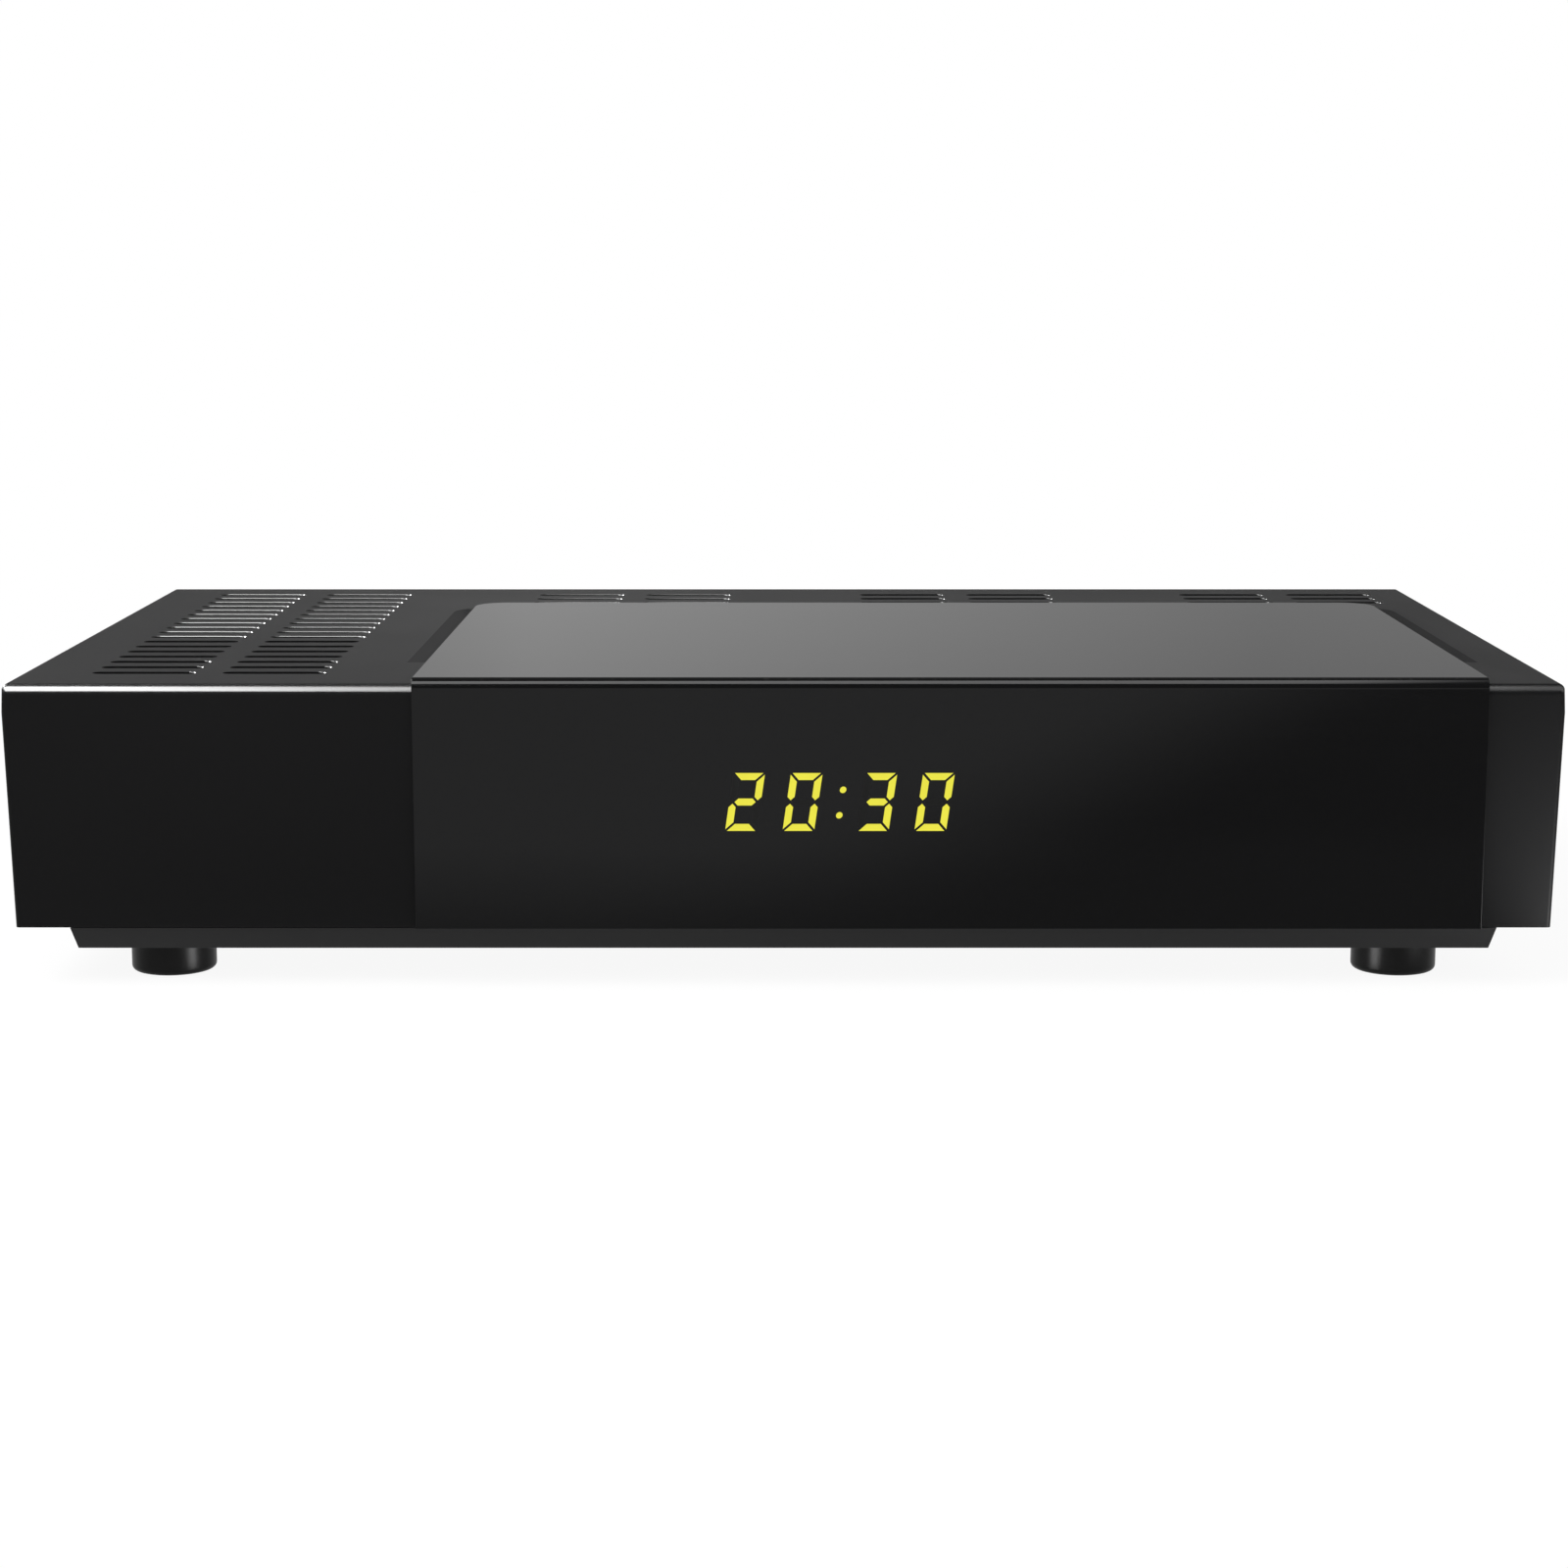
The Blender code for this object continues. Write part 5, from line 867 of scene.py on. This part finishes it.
socket_nylon = moulded("socket_nylon", (0.011, 0.011, 0.0115), 0.42, 2600, 0.006 * MM, level=0.4)
nickel = plated_finish("bright_nickel", (0.56, 0.53, 0.47), (0.68, 0.65, 0.59), 0.14, 0.26)
low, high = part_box("dc_jack")
inlet = jack_mesh("inlet", low, (high.x, BODY_BACK, high.z), INLET_AXIS,
                  nose=4.2 * MM, nose_start=51.1 * MM, bore=3.15 * MM, bore_depth=10 * MM)
piece("power_inlet", inlet, socket_nylon, "dc_jack")
pin = turned("inlet_pin", mm((0, 0), (1.05, 0), (1.05, 7.6), (0.9, 8.2), (0.5, 8.55), (0, 8.65)), 32)
pin_at = facing_rear(INLET_AXIS[0], 49.5 * MM, INLET_AXIS[1])
piece("inlet_pin", pin, nickel, "dc_pin", at=pin_at)
low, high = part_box("sensor_jack")
sensor_socket = jack_mesh("sensor_socket", low, (high.x, BODY_BACK, high.z), JACK_AXIS,
                          nose=2.9 * MM, nose_start=52.1 * MM, bore=1.8 * MM, bore_depth=9 * MM)
piece("sensor_socket", sensor_socket, socket_nylon, "sensor_jack")
sleeve = turned("sleeve", mm((1.74, 0), (1.74, 7.6), (1.55, 7.6), (1.55, 0)), 32, ring=True)
sleeve_at = facing_rear(JACK_AXIS[0], 50.6 * MM, JACK_AXIS[1])
piece("sensor_socket_sleeve", sleeve, nickel, at=sleeve_at)

# The two-row socket takes the flat audio and video plug. It is one nylon moulding with a shrouded
# block of contacts, and sprung tinned blades lie inside the slots of that block.

SCART_AT = (-51.64 * MM, 22.3 * MM)
BLADE_PITCH = 3.8 * MM
BLADE_ROW = 1.65 * MM
BLADE_WALL = 0.34 * MM

dress("scart_socket", socket_nylon, edge=0.25 * MM, segments=3)
contact_nylon = moulded("contact_block_nylon", (0.013, 0.013, 0.0135), 0.5, 2200, 0.008 * MM, level=0.4)
dress("scart_contacts", contact_nylon, edge=0.08 * MM)
blade = block("blade", *mm((-0.08, 57.15, -0.95), (0.08, 58.3, 0.95)))
blades = []
for column in range(10):
    for row in (-1, 1):
        for side in (-1, 1):
            x = SCART_AT[0] + (column - 4.5) * BLADE_PITCH + side * BLADE_WALL
            blades.append(moved(blade, Matrix.Translation((x, 0, SCART_AT[1] + row * BLADE_ROW))))
tinned = plated_finish("tinned_contact", (0.62, 0.61, 0.57), (0.74, 0.73, 0.70), 0.2, 0.34)
piece("scart_blades", joined("scart_blades", blades), tinned)

# The three round audio sockets stand on one nylon block. Each is a nickel-plated ring around a
# coloured insert with a sprung centre contact: orange for digital, white for left, red for right.

SOCKET_HEIGHT = 19.8 * MM
PHONO_SOCKETS = {
    "digital": (-18.76 * MM, "orange", (0.72, 0.20, 0.015)),
    "left": (-4.63 * MM, "white", (0.74, 0.74, 0.71)),
    "right": (9.5 * MM, "red", (0.50, 0.02, 0.02)),
}

dress("phono_block", socket_nylon, edge=0.3 * MM)
lip = mm((0, 0.6), (3.55, 0.6), (3.55, 9.2), (3.7, 9.42), (3.85, 9.5), (4.0, 9.42), (4.15, 9.15))
groove = mm((4.15, 1.9), (4.05, 1.75), (4.05, 1.6), (4.15, 1.5), (4.15, 0), (0, 0))
ring_mesh = turned("phono_ring", lip + groove, 56)
hole = mm((0, 1.9), (1.6, 1.9), (1.6, 8.55), (1.85, 8.85), (2.0, 8.9))
insert_mesh = turned("phono_insert", hole + mm((3.0, 8.9), (3.25, 8.65), (3.25, 0.9), (0, 0.9)))
spring_mesh = turned("phono_spring", mm((1.5, 0), (1.5, 5.6), (1.35, 5.6), (1.35, 0)), 32, ring=True)
for name, (x, colour_name, colour) in PHONO_SOCKETS.items():
    plastic = moulded(f"{colour_name}_insert", colour, 0.34, level=0.45)
    insert = insert_mesh.copy()
    at = facing_rear(x, PANEL_IN, SOCKET_HEIGHT)
    piece(f"audio_ring_{name}", ring_mesh, nickel, f"phono_ring_{name}", at=at)
    piece(f"audio_insert_{name}", insert, plastic, f"phono_insert_{name}", at=at)
    spring_at = facing_rear(x, PANEL_IN + 2 * MM, SOCKET_HEIGHT)
    piece(f"audio_spring_{name}", spring_mesh, tinned, at=spring_at)

# The flat data and picture sockets are folded steel shells around moulded tongues, with rows of
# gold-flashed contacts laid into the tongues.

USB_MIDDLE = 36.51 * MM
HDMI_MIDDLE = 55.24 * MM


def contact_strips(middles, half, depths, heights):
    """Flat contacts beside each other, let into a tongue."""
    (back, front), (bottom, top) = depths, heights
    return [block("strip", (x - half, back, bottom), (x + half, front, top)) for x in middles]


shell_steel = plated_finish("folded_steel", (0.46, 0.46, 0.47), (0.60, 0.60, 0.61), 0.22, 0.36, scale=150)
gold_flash = plated_finish("gold_flash", (0.72, 0.52, 0.20), (0.86, 0.66, 0.30), 0.18, 0.3)
dress("usb_shell", shell_steel, edge=0.12 * MM)
dress("usb_tongue", moulded("tongue_white", (0.66, 0.66, 0.63), 0.45, level=0.4), edge=0.12 * MM)
low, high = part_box("usb_tongue")
middles = [USB_MIDDLE + column * MM for column in (-3.5, -1.0, 1.0, 3.5)]
depths = (high.y - 7.2 * MM, high.y - 0.7 * MM)
strips = contact_strips(middles, 0.5 * MM, depths, (low.z - 0.05 * MM, low.z + 0.1 * MM))
piece("usb_contacts", joined("usb_contacts", strips), gold_flash)
dress("hdmi_shell", shell_steel, edge=0.12 * MM)
dress("hdmi_tongue", socket_nylon, edge=0.1 * MM)
low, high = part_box("hdmi_tongue")
upper = [HDMI_MIDDLE + (column - 4.5) * MM for column in range(10)]
lower = [HDMI_MIDDLE + (column - 4) * MM for column in range(9)]
depths = (high.y - 5 * MM, high.y - 0.4 * MM)
strips = contact_strips(upper, 0.25 * MM, depths, (high.z - 0.1 * MM, high.z + 0.04 * MM))
strips += contact_strips(lower, 0.25 * MM, depths, (low.z - 0.04 * MM, low.z + 0.1 * MM))
piece("hdmi_contacts", joined("hdmi_contacts", strips), gold_flash)

# The tuner sits in a folded tinplate can with a snapped-on lid. Its two screw-type aerial sockets are
# turned brass, nickel plated, with rolled threads, PTFE inserts and a hexagon nut against the panel.

AERIAL_PLACES = {"in": 74.12 * MM, "out": 92.25 * MM}


def tinplate_finish():
    """Tinplate: rolled streaks with the spangled bloom of the tin."""
    material, tree = new_finish("tinplate", {"Metallic": 1.0})
    place = add(tree, "TexCoord").outputs["Object"]
    spangle = add(tree, "TexVoronoi", {"Vector": place, "Scale": 260})
    tone = add(tree, "SeparateColor", {"Color": spangle.outputs["Color"]}).outputs[0]
    rolled = add(tree, "Group", {"Line Scale": 2500, "Stretch": 0.03}, node_tree=HAIRLINES).outputs["Mask"]
    base = blend_colour(tree, tone, (0.54, 0.54, 0.52), (0.68, 0.68, 0.66))
    return surfaced(material, base, rolled, 0.28, 0.42, rolled, 0.004 * MM)


tinplate = tinplate_finish()
dress("tuner_can", tinplate, edge=0.2 * MM)
dress("tuner_lid", tinplate, edge=0.15 * MM)
ptfe = moulded("ptfe", (0.72, 0.72, 0.69), 0.55, 1800, 0.006 * MM, level=0.4)
barrel = mm((0, 4), (3.6, 4), (3.6, 11.7), (3.85, 12), (4.2, 12), (4.38, 11.8))
pitch = 0.794
z = 11.6
while z > 4.4:
    barrel += mm((4.36, z), (4.7, z - pitch * 0.42), (4.7, z - pitch * 0.52), (4.36, z - pitch * 0.94))
    z -= pitch
barrel += mm((4.36, z), (4.7, z - 0.3), (4.7, 0), (0, 0))
aerial_barrel = turned("aerial_barrel", barrel, 56)
centre = mm((0, 7.85), (0.7, 7.85), (0.7, 11.0), (1.0, 11.4), (1.6, 11.4), (1.75, 11.15))
rim = mm((2.6, 11.15), (2.75, 11.4), (3.15, 11.4), (3.3, 11.25), (3.3, 4.3), (0, 4.3))
aerial_insert = turned("aerial_insert", centre + rim)


def nut_mesh():
    """A hexagon nut whose corners are turned off on both faces, with a countersunk bore."""
    hexagon = [[(x, y, z) for x, y in arc(0, 0, 6.35 * MM, 0, 360, 6)[:-1]] for z in (0, 2.1 * MM)]
    cone = mm((0, -0.01), (5.7, -0.01), (6.4, 0.36), (6.4, 1.74), (5.7, 2.11), (0, 2.11))
    bore = mm((0, -1), (5.0, -1), (5.0, 1.8), (5.35, 2.15), (5.35, 3), (0, 3))
    outside = machined("nut", loft("nut", hexagon), commons=[turned("nut_cone", cone, 72)])
    return machined("aerial_nut", outside, cuts=[turned("nut_bore", bore)])


hexagon_nut = nut_mesh()
for name, x in AERIAL_PLACES.items():
    at = facing_rear(x, PANEL_IN - 2 * FITTING_GAP, SOCKET_HEIGHT)
    piece(f"aerial_barrel_{name}", aerial_barrel, nickel, f"aerial_socket_{name}", at=at)
    piece(f"aerial_ptfe_{name}", aerial_insert, ptfe, f"aerial_insert_{name}", at=at)
    nut_at = facing_rear(x, PANEL_OUT + FITTING_GAP, SOCKET_HEIGHT)
    piece(f"hexagon_nut_{name}", hexagon_nut, nickel, f"aerial_nut_{name}", at=nut_at)

# The main board and the front board are glass-epoxy laminate under green solder mask, with copper
# tracks that show as slightly raised, lighter lines. The main board lies on four standoffs.


def solder_mask_finish():
    """Green mask over copper tracks, which stand up a little and look lighter."""
    gloss = {"Specular IOR Level": 0.5, "Coat Weight": 0.25, "Coat Roughness": 0.15}
    material, tree = new_finish("green_solder_mask", gloss)
    shared = {"Vector": add(tree, "TexCoord").outputs["Object"], "Mortar Smooth": 0.1}
    wide = {"Scale": 90, "Mortar Size": 0.06, "Brick Width": 0.9, "Row Height": 0.22}
    narrow = {"Scale": 240, "Mortar Size": 0.05, "Brick Width": 0.35, "Row Height": 1.4}
    grids = [add(tree, "TexBrick", {**shared, **grid}).outputs["Fac"] for grid in (wide, narrow)]
    tracks = maths(tree, "MAXIMUM", *grids)
    weave = add(tree, "Group", {"Grain Scale": 1500, "Patch Scale": 40}, node_tree=MOULD_GRAIN)
    base = blend_colour(tree, weave.outputs["Patch"], (0.008, 0.060, 0.024), (0.012, 0.085, 0.034))
    base = blend_colour(tree, tracks, base, (0.022, 0.15, 0.060))
    return surfaced(material, base, weave.outputs["Patch"], 0.30, 0.42, tracks, 0.03 * MM)


solder_mask = solder_mask_finish()
dress("main_board", solder_mask, edge=0.1 * MM)
dress("front_board", solder_mask, edge=0.1 * MM)

# The processor, its memory and its flash chip are moulded epoxy packages, and the processor carries a
# sawn aluminium heat sink.

PIN_HALF = 0.15 * MM
PIN_REACH = (-0.1 * MM, 0.9 * MM)
PIN_THICKNESS = 0.35 * MM
BARE_ENDS = 1 * MM

chip_epoxy = moulded("chip_epoxy", (0.014, 0.014, 0.015), 0.55, 2200, 0.01 * MM, level=0.4)
for node in ("processor_chip", "memory_chip", "flash_chip"):
    dress(node, chip_epoxy, edge=0.15 * MM)


def chip_pins(node, pitch, along_y):
    """The gull-wing pins along two sides of a chip."""
    low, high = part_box(node)
    pins = []
    start, end = (low.y, high.y) if along_y else (low.x, high.x)
    count = int((end - start - BARE_ENDS) / pitch)
    for number in range(count):
        place = (start + end) / 2 + (number - (count - 1) / 2) * pitch
        for corner, outward in ((low, -1), (high, 1)):
            edge = corner.x if along_y else corner.y
            near, far = sorted(edge + outward * reach for reach in PIN_REACH)
            (x0, x1), (y0, y1) = (near, far), (place - PIN_HALF, place + PIN_HALF)
            if not along_y:
                x0, x1, y0, y1 = y0, y1, x0, x1
            pins.append(block("pin", (x0, y0, low.z), (x1, y1, low.z + PIN_THICKNESS)))
    return pins


pins = chip_pins("processor_chip", 0.8 * MM, True) + chip_pins("processor_chip", 0.8 * MM, False)
pins += chip_pins("memory_chip", 0.8 * MM, True) + chip_pins("flash_chip", 1.27 * MM, False)
piece("chip_pins", joined("chip_pins", pins), tinned)
sawn = {"scale": 120, "stretch": 0.05}
aluminium = plated_finish("sawn_aluminium", (0.60, 0.61, 0.62), (0.74, 0.75, 0.76), 0.32, 0.46, **sawn)
dress("heat_sink", aluminium, edge=0.12 * MM)

# The power parts stand beside the inlet: three sleeved electrolytic capacitors with scored aluminium
# tops, and a square shielded coil of sintered ferrite.


def sleeve_finish():
    """Shrunk vinyl sleeve with the pale stripe that marks one lead."""
    material, tree = new_finish("capacitor_sleeve", {"Specular IOR Level": 0.5})
    place = add(tree, "SeparateXYZ", {"Vector": add(tree, "TexCoord").outputs["Object"]}).outputs
    stripe = maths(tree, "GREATER_THAN", maths(tree, "ARCTAN2", place["Y"], place["X"]), 2.6)
    grain = add(tree, "Group", {"Grain Scale": 1800, "Patch Scale": 120}, node_tree=MOULD_GRAIN)
    base = blend_colour(tree, grain.outputs["Patch"], (0.022, 0.038, 0.13), (0.032, 0.055, 0.17))
    base = blend_colour(tree, stripe, base, (0.45, 0.47, 0.50))
    patch, height = grain.outputs["Patch"], grain.outputs["Height"]
    return surfaced(material, base, patch, 0.26, 0.36, height, 0.006 * MM)


capacitor_sleeve = sleeve_finish()
rim = mm((0, 11.7), (3.3, 11.7), (3.4, 12.0), (3.9, 12.0), (4.15, 11.8), (4.2, 11.5))
waist = mm((4.2, 2.2), (4.0, 1.9), (4.0, 1.5), (4.2, 1.2), (4.2, 0.2), (4.0, 0), (0, 0))
capacitor_body = turned("capacitor_body", rim + waist)
can_top = turned("can_top", mm((0, 11.85), (3.2, 11.85), (3.32, 11.6), (0, 11.6)))
scores = cross_tools(2.6 * MM, 0.12 * MM, 11.72 * MM, 13 * MM)
scored_top = machined("scored_top", can_top, cuts=scores)
for number in (1, 2, 3):
    node = f"capacitor_{number}"
    low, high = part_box(node)
    foot = ((low.x + high.x) / 2, (low.y + high.y) / 2, low.z)
    at = Matrix.Translation(foot) @ Matrix.Rotation(1.1 * number, 4, "Z")
    piece(f"sleeved_{node}", capacitor_body, capacitor_sleeve, node, at=at)
    piece(f"capacitor_top_{number}", scored_top, aluminium, at=at)
ferrite = moulded("sintered_ferrite", (0.022, 0.022, 0.023), 0.68, 1400, 0.02 * MM, level=0.4)
dress("power_coil", ferrite, edge=0.25 * MM)

# Behind the fascia stand the display module, the remote sensor and the standby lamp, all on the front
# board. A grey ribbon cable of ten cores joins it to the main board.

CORE_PITCH = 1.2 * MM
FIRST_CORE_END = 13.0 * MM

display_grey = moulded("display_moulding", (0.028, 0.028, 0.028), 0.45, 2400, 0.006 * MM, level=0.4)
dress("led_display", display_grey)
sensor_epoxy = moulded("sensor_epoxy", (0.016, 0.008, 0.014), 0.14, 3000, 0.001 * MM)
dress("remote_sensor", sensor_epoxy, edge=0.2 * MM)
lamp_epoxy = moulded("lamp_epoxy", (0.40, 0.04, 0.03), 0.18, 3000, 0.001 * MM)
dress("standby_lamp", lamp_epoxy)


def ribbon_finish():
    """Grey vinyl ribbon: ten ribbed cores, the first one marked red, and the grooves between the cores
    painted darker as shade.
    """
    material, tree = new_finish("ribbon_vinyl", {"Specular IOR Level": 0.45})
    across = add(tree, "SeparateXYZ", {"Vector": add(tree, "TexCoord").outputs["Object"]}).outputs["X"]
    turns = maths(tree, "MULTIPLY", across, math.tau / CORE_PITCH)
    rib_relief_and_groove_shade = ramp(tree, add(tree, "Math", {0: turns}, operation="COSINE").outputs[0], -1.0, 1.0)
    first_core = maths(tree, "LESS_THAN", across, FIRST_CORE_END)
    # Painted shade: the colour darkens into the grooves between the cores, following the ribs.
    base = blend_colour(tree, rib_relief_and_groove_shade, (0.34, 0.34, 0.33), (0.48, 0.48, 0.46))
    base = blend_colour(tree, first_core, base, (0.42, 0.03, 0.02))
    return surfaced(material, base, rib_relief_and_groove_shade, 0.38, 0.5, rib_relief_and_groove_shade, 0.25 * MM)


dress("ribbon_cable", ribbon_finish())

# The studio: a white floor that keeps the shadow, a white world, two soft lamps, and cards and sheets
# of light that only reflections see, as a photographer stands them around a glossy black thing. Sheets
# and cards are placed in millimetres, and their tones read that place in metres.

CARD_CEILING = 860
CARD_BORDER = ((-185, -200), (-225, -760))


def bare_material(name):
    """A material with no nodes, for sheets that only glow or take shadow."""
    material = bpy.data.materials.new(name)
    material.use_nodes = True
    material.node_tree.nodes.clear()
    return material, material.node_tree


def stage_sheet(name, corners, finish):
    """A flat sheet of the studio, which isn't part of the receiver."""
    mesh = bpy.data.meshes.new(name)
    mesh.from_pydata(mm(*corners), [], [tuple(range(len(corners)))])
    mesh.materials.append(finish)
    obj = bpy.data.objects.new(name, mesh)
    bpy.context.collection.objects.link(obj)
    return obj


def level(z, left, near, right, far):
    """The corners of a sheet that lies flat at one height."""
    return [(left, near, z), (right, near, z), (right, far, z), (left, far, z)]


def floor_finish():
    """White to the camera and to reflections, and lit and shadowed by the lamps near the receiver."""
    material, tree = bare_material("studio_floor")
    path = add(tree, "LightPath")
    seen = maths(tree, "MAXIMUM", path.outputs["Is Camera Ray"], path.outputs["Is Glossy Ray"])
    seen = maths(tree, "MAXIMUM", seen, path.outputs["Is Transmission Ray"])
    place = add(tree, "TexCoord").outputs["Object"]
    distance = add(tree, "VectorMath", {0: place}, operation="LENGTH").outputs["Value"]
    share = maths(tree, "MULTIPLY", seen, ramp(tree, distance, 0.15, 0.32, 0.92, 1.0, "SMOOTHSTEP"))
    white = add(tree, "Emission", {"Color": (1, 1, 1, 1), "Strength": 1.0}).outputs["Emission"]
    matt = add(tree, "BsdfDiffuse", {"Color": (0.97, 0.97, 0.97, 1)}).outputs["BSDF"]
    mixed = add(tree, "MixShader", {"Fac": share, 1: matt, 2: white}).outputs["Shader"]
    add(tree, "OutputMaterial", {"Surface": mixed})
    return material


stage_sheet("floor", level(0, -3000, -3000, 3000, 3000), floor_finish())

world = bpy.data.worlds.new("studio")
bpy.context.scene.world = world
world.use_nodes = True
tree = world.node_tree
tree.nodes.clear()
path = add(tree, "LightPath")
seen = maths(tree, "MAXIMUM", path.outputs["Is Camera Ray"], path.outputs["Is Transmission Ray"])
direction = add(tree, "SeparateXYZ", {"Vector": add(tree, "TexCoord").outputs["Generated"]})
dark_front = ramp(tree, direction.outputs["Z"], 0.0, 0.12, 0.9, 0.2, "SMOOTHSTEP")
dim_ceiling = ramp(tree, direction.outputs["Z"], 0.05, 0.5, 0.3, 0.2, "SMOOTHSTEP")
behind = ramp(tree, direction.outputs["Y"], -0.25, 0.25, 0.0, 1.0)
room = add(tree, "Mix", {"Factor": behind, "A": dark_front, "B": dim_ceiling}).outputs["Result"]
glossy = maths(tree, "MULTIPLY", path.outputs["Is Glossy Ray"], room)
strength = maths(tree, "MAXIMUM", seen, glossy)
plain = maths(tree, "MULTIPLY", maths(tree, "SUBTRACT", 1.0, path.outputs["Is Glossy Ray"]), 0.6)
strength = maths(tree, "MAXIMUM", strength, plain)
background = add(tree, "Background", {"Color": (1, 1, 1, 1), "Strength": strength}).outputs["Background"]
add(tree, "OutputWorld", {"Surface": background})


def reflected_card(name, corners, tone):
    """A sheet of light that only reflections see; its tone is built from the place on the stage."""
    material, tree = bare_material(name)
    place = add(tree, "SeparateXYZ", {"Vector": add(tree, "TexCoord").outputs["Object"]}).outputs
    strength = tone(tree, place["X"], place["Y"], place["Z"])
    glow = add(tree, "Emission", {"Color": (1, 1, 1, 1), "Strength": strength}).outputs["Emission"]
    add(tree, "OutputMaterial", {"Surface": glow})
    obj = stage_sheet(name, corners, material)
    obj.visible_camera = False
    obj.visible_diffuse = False
    obj.visible_shadow = False
    obj.visible_transmission = False
    obj.visible_volume_scatter = False


def overhead(*places):
    """Corners at the height of the two ceiling cards, which share one border."""
    return [(x, y, CARD_CEILING) for x, y in places]


def back_tone(tree, x, y, z):
    """A band of light at the height that the polished top shows, and dimmer above and below it."""
    below = ramp(tree, z, 0.06, 0.12, 0.0, 1.0, "SMOOTHSTEP")
    above = ramp(tree, z, 0.21, 0.28, 1.0, 0.0, "SMOOTHSTEP")
    band = maths(tree, "MINIMUM", below, above)
    light = ramp(tree, x, -0.11, 0.21, 0.51, 0.31)
    light = maths(tree, "MULTIPLY", light, ramp(tree, x, -0.33, -0.12, 0.53, 1.0))
    dim = ramp(tree, x, -0.3, 0.3, 0.10, 0.20)
    return add(tree, "Mix", {"Factor": band, "A": dim, "B": light}).outputs["Result"]


def front_floor_tone(tree, x, y, z):
    """Light up to a slanting soft border, and grey beyond it and close to the receiver."""
    border = maths(tree, "ADD", x, maths(tree, "MULTIPLY", y, 0.44))
    beyond = ramp(tree, border, -0.092, -0.012, 0.0, 1.0, "SMOOTHSTEP")
    light = ramp(tree, y, -0.175, -0.105, 0.92, 0.46)
    grey = ramp(tree, y, -0.20, -0.17, 0.22, 0.28)
    return add(tree, "Mix", {"Factor": beyond, "A": light, "B": grey}).outputs["Result"]


def right_floor_tone(tree, x, y, z):
    """Bright close to the receiver, fading outwards, with soft sides along the card's slant."""
    across = maths(tree, "ADD", x, maths(tree, "MULTIPLY", y, 0.21))
    inner = ramp(tree, across, 0.0935, 0.098, 0.0, 1.0)
    outer = ramp(tree, across, 0.12, 0.172, 1.0, 0.0)
    light = ramp(tree, y, -0.22, -0.08, 0.5, 26.0)
    return maths(tree, "MULTIPLY", light, maths(tree, "MINIMUM", inner, outer))


def left_ceiling_tone(tree, x, y, z):
    """Brightest above the left end of the receiver, and dimmer towards the strip and the far left."""
    light = ramp(tree, x, -0.30, -0.17, 31.0, 3.5)
    return maths(tree, "MULTIPLY", light, ramp(tree, x, -0.70, -0.35, 0.15, 1.0))


def key_strip_tone(tree, x, y, z):
    """Dimmer towards the right, with a soft right end."""
    light = ramp(tree, x, -0.2, 0.33, 8.2, 4.8)
    return maths(tree, "MULTIPLY", light, ramp(tree, x, 0.22, 0.285, 1.0, 0.06))


def even(strength):
    """A tone that is the same all over its card."""
    return lambda tree, x, y, z: strength


back_corners = [(-1200, 900, 1), (1200, 900, 1), (1200, 900, 700), (-1200, 900, 700)]
reflected_card("back_card", back_corners, back_tone)
reflected_card("front_floor_card", level(0.3, -320, -445, 320, -98), front_floor_tone)
right_corners = [(109, -80, 0.6), (190, -80, 0.6), (240, -300, 0.6), (155, -300, 0.6)]
reflected_card("right_floor_card", right_corners, right_floor_tone)
left_corners = overhead((-800, -20), (-160, -20), *CARD_BORDER, (-350, -1700), (-800, -1700))
reflected_card("left_ceiling_card", left_corners, left_ceiling_tone)
strip_corners = overhead(CARD_BORDER[0], (330, 60), (390, -720), CARD_BORDER[1])
reflected_card("front_ceiling_card", strip_corners, key_strip_tone)
left_back_corners = [(-880, 400, 380), (-500, 620, 380), (-500, 620, 780), (-880, 400, 780)]
reflected_card("left_back_card", left_back_corners, even(40.0))
for name, side in (("left_foot_card", -1), ("right_foot_card", 1)):
    outer, inner = side * 82.7, side * 81.7
    corners = [(outer, -64, 0.4), (inner, -61.8, 0.4), (inner, -61.8, 4.7), (outer, -64, 4.7)]
    reflected_card(name, corners, even(19.0))


def soft_lamp(name, place, target, width, height, power):
    """A rectangular lamp that faces its target, in metres and watts."""
    data = bpy.data.lights.new(name, "AREA")
    data.shape = "RECTANGLE"
    data.size = width
    data.size_y = height
    data.energy = power
    lamp = bpy.data.objects.new(name, data)
    lamp.location = place
    lamp.rotation_euler = (Vector(target) - Vector(place)).to_track_quat("-Z", "Y").to_euler()
    bpy.context.collection.objects.link(lamp)


soft_lamp("key_box", (-0.75, -0.35, 0.95), (0, 0, 0.02), 0.9, 0.7, 14)
soft_lamp("fill_box", (0.9, -0.7, 0.8), (0, 0, 0.02), 0.8, 0.8, 4)

camera_data = bpy.data.cameras.new("camera")
camera_data.sensor_width = 36
camera_data.lens = 73.69
camera_data.shift_x = -0.008
camera_data.clip_start = 0.01
camera = bpy.data.objects.new("camera", camera_data)
camera.location = (0.00188, -0.5144, 0.1040)
camera.rotation_euler = (math.radians(80.485), 0, 0)
bpy.context.collection.objects.link(camera)
bpy.context.scene.camera = camera
bpy.context.scene.view_settings.view_transform = "Standard"
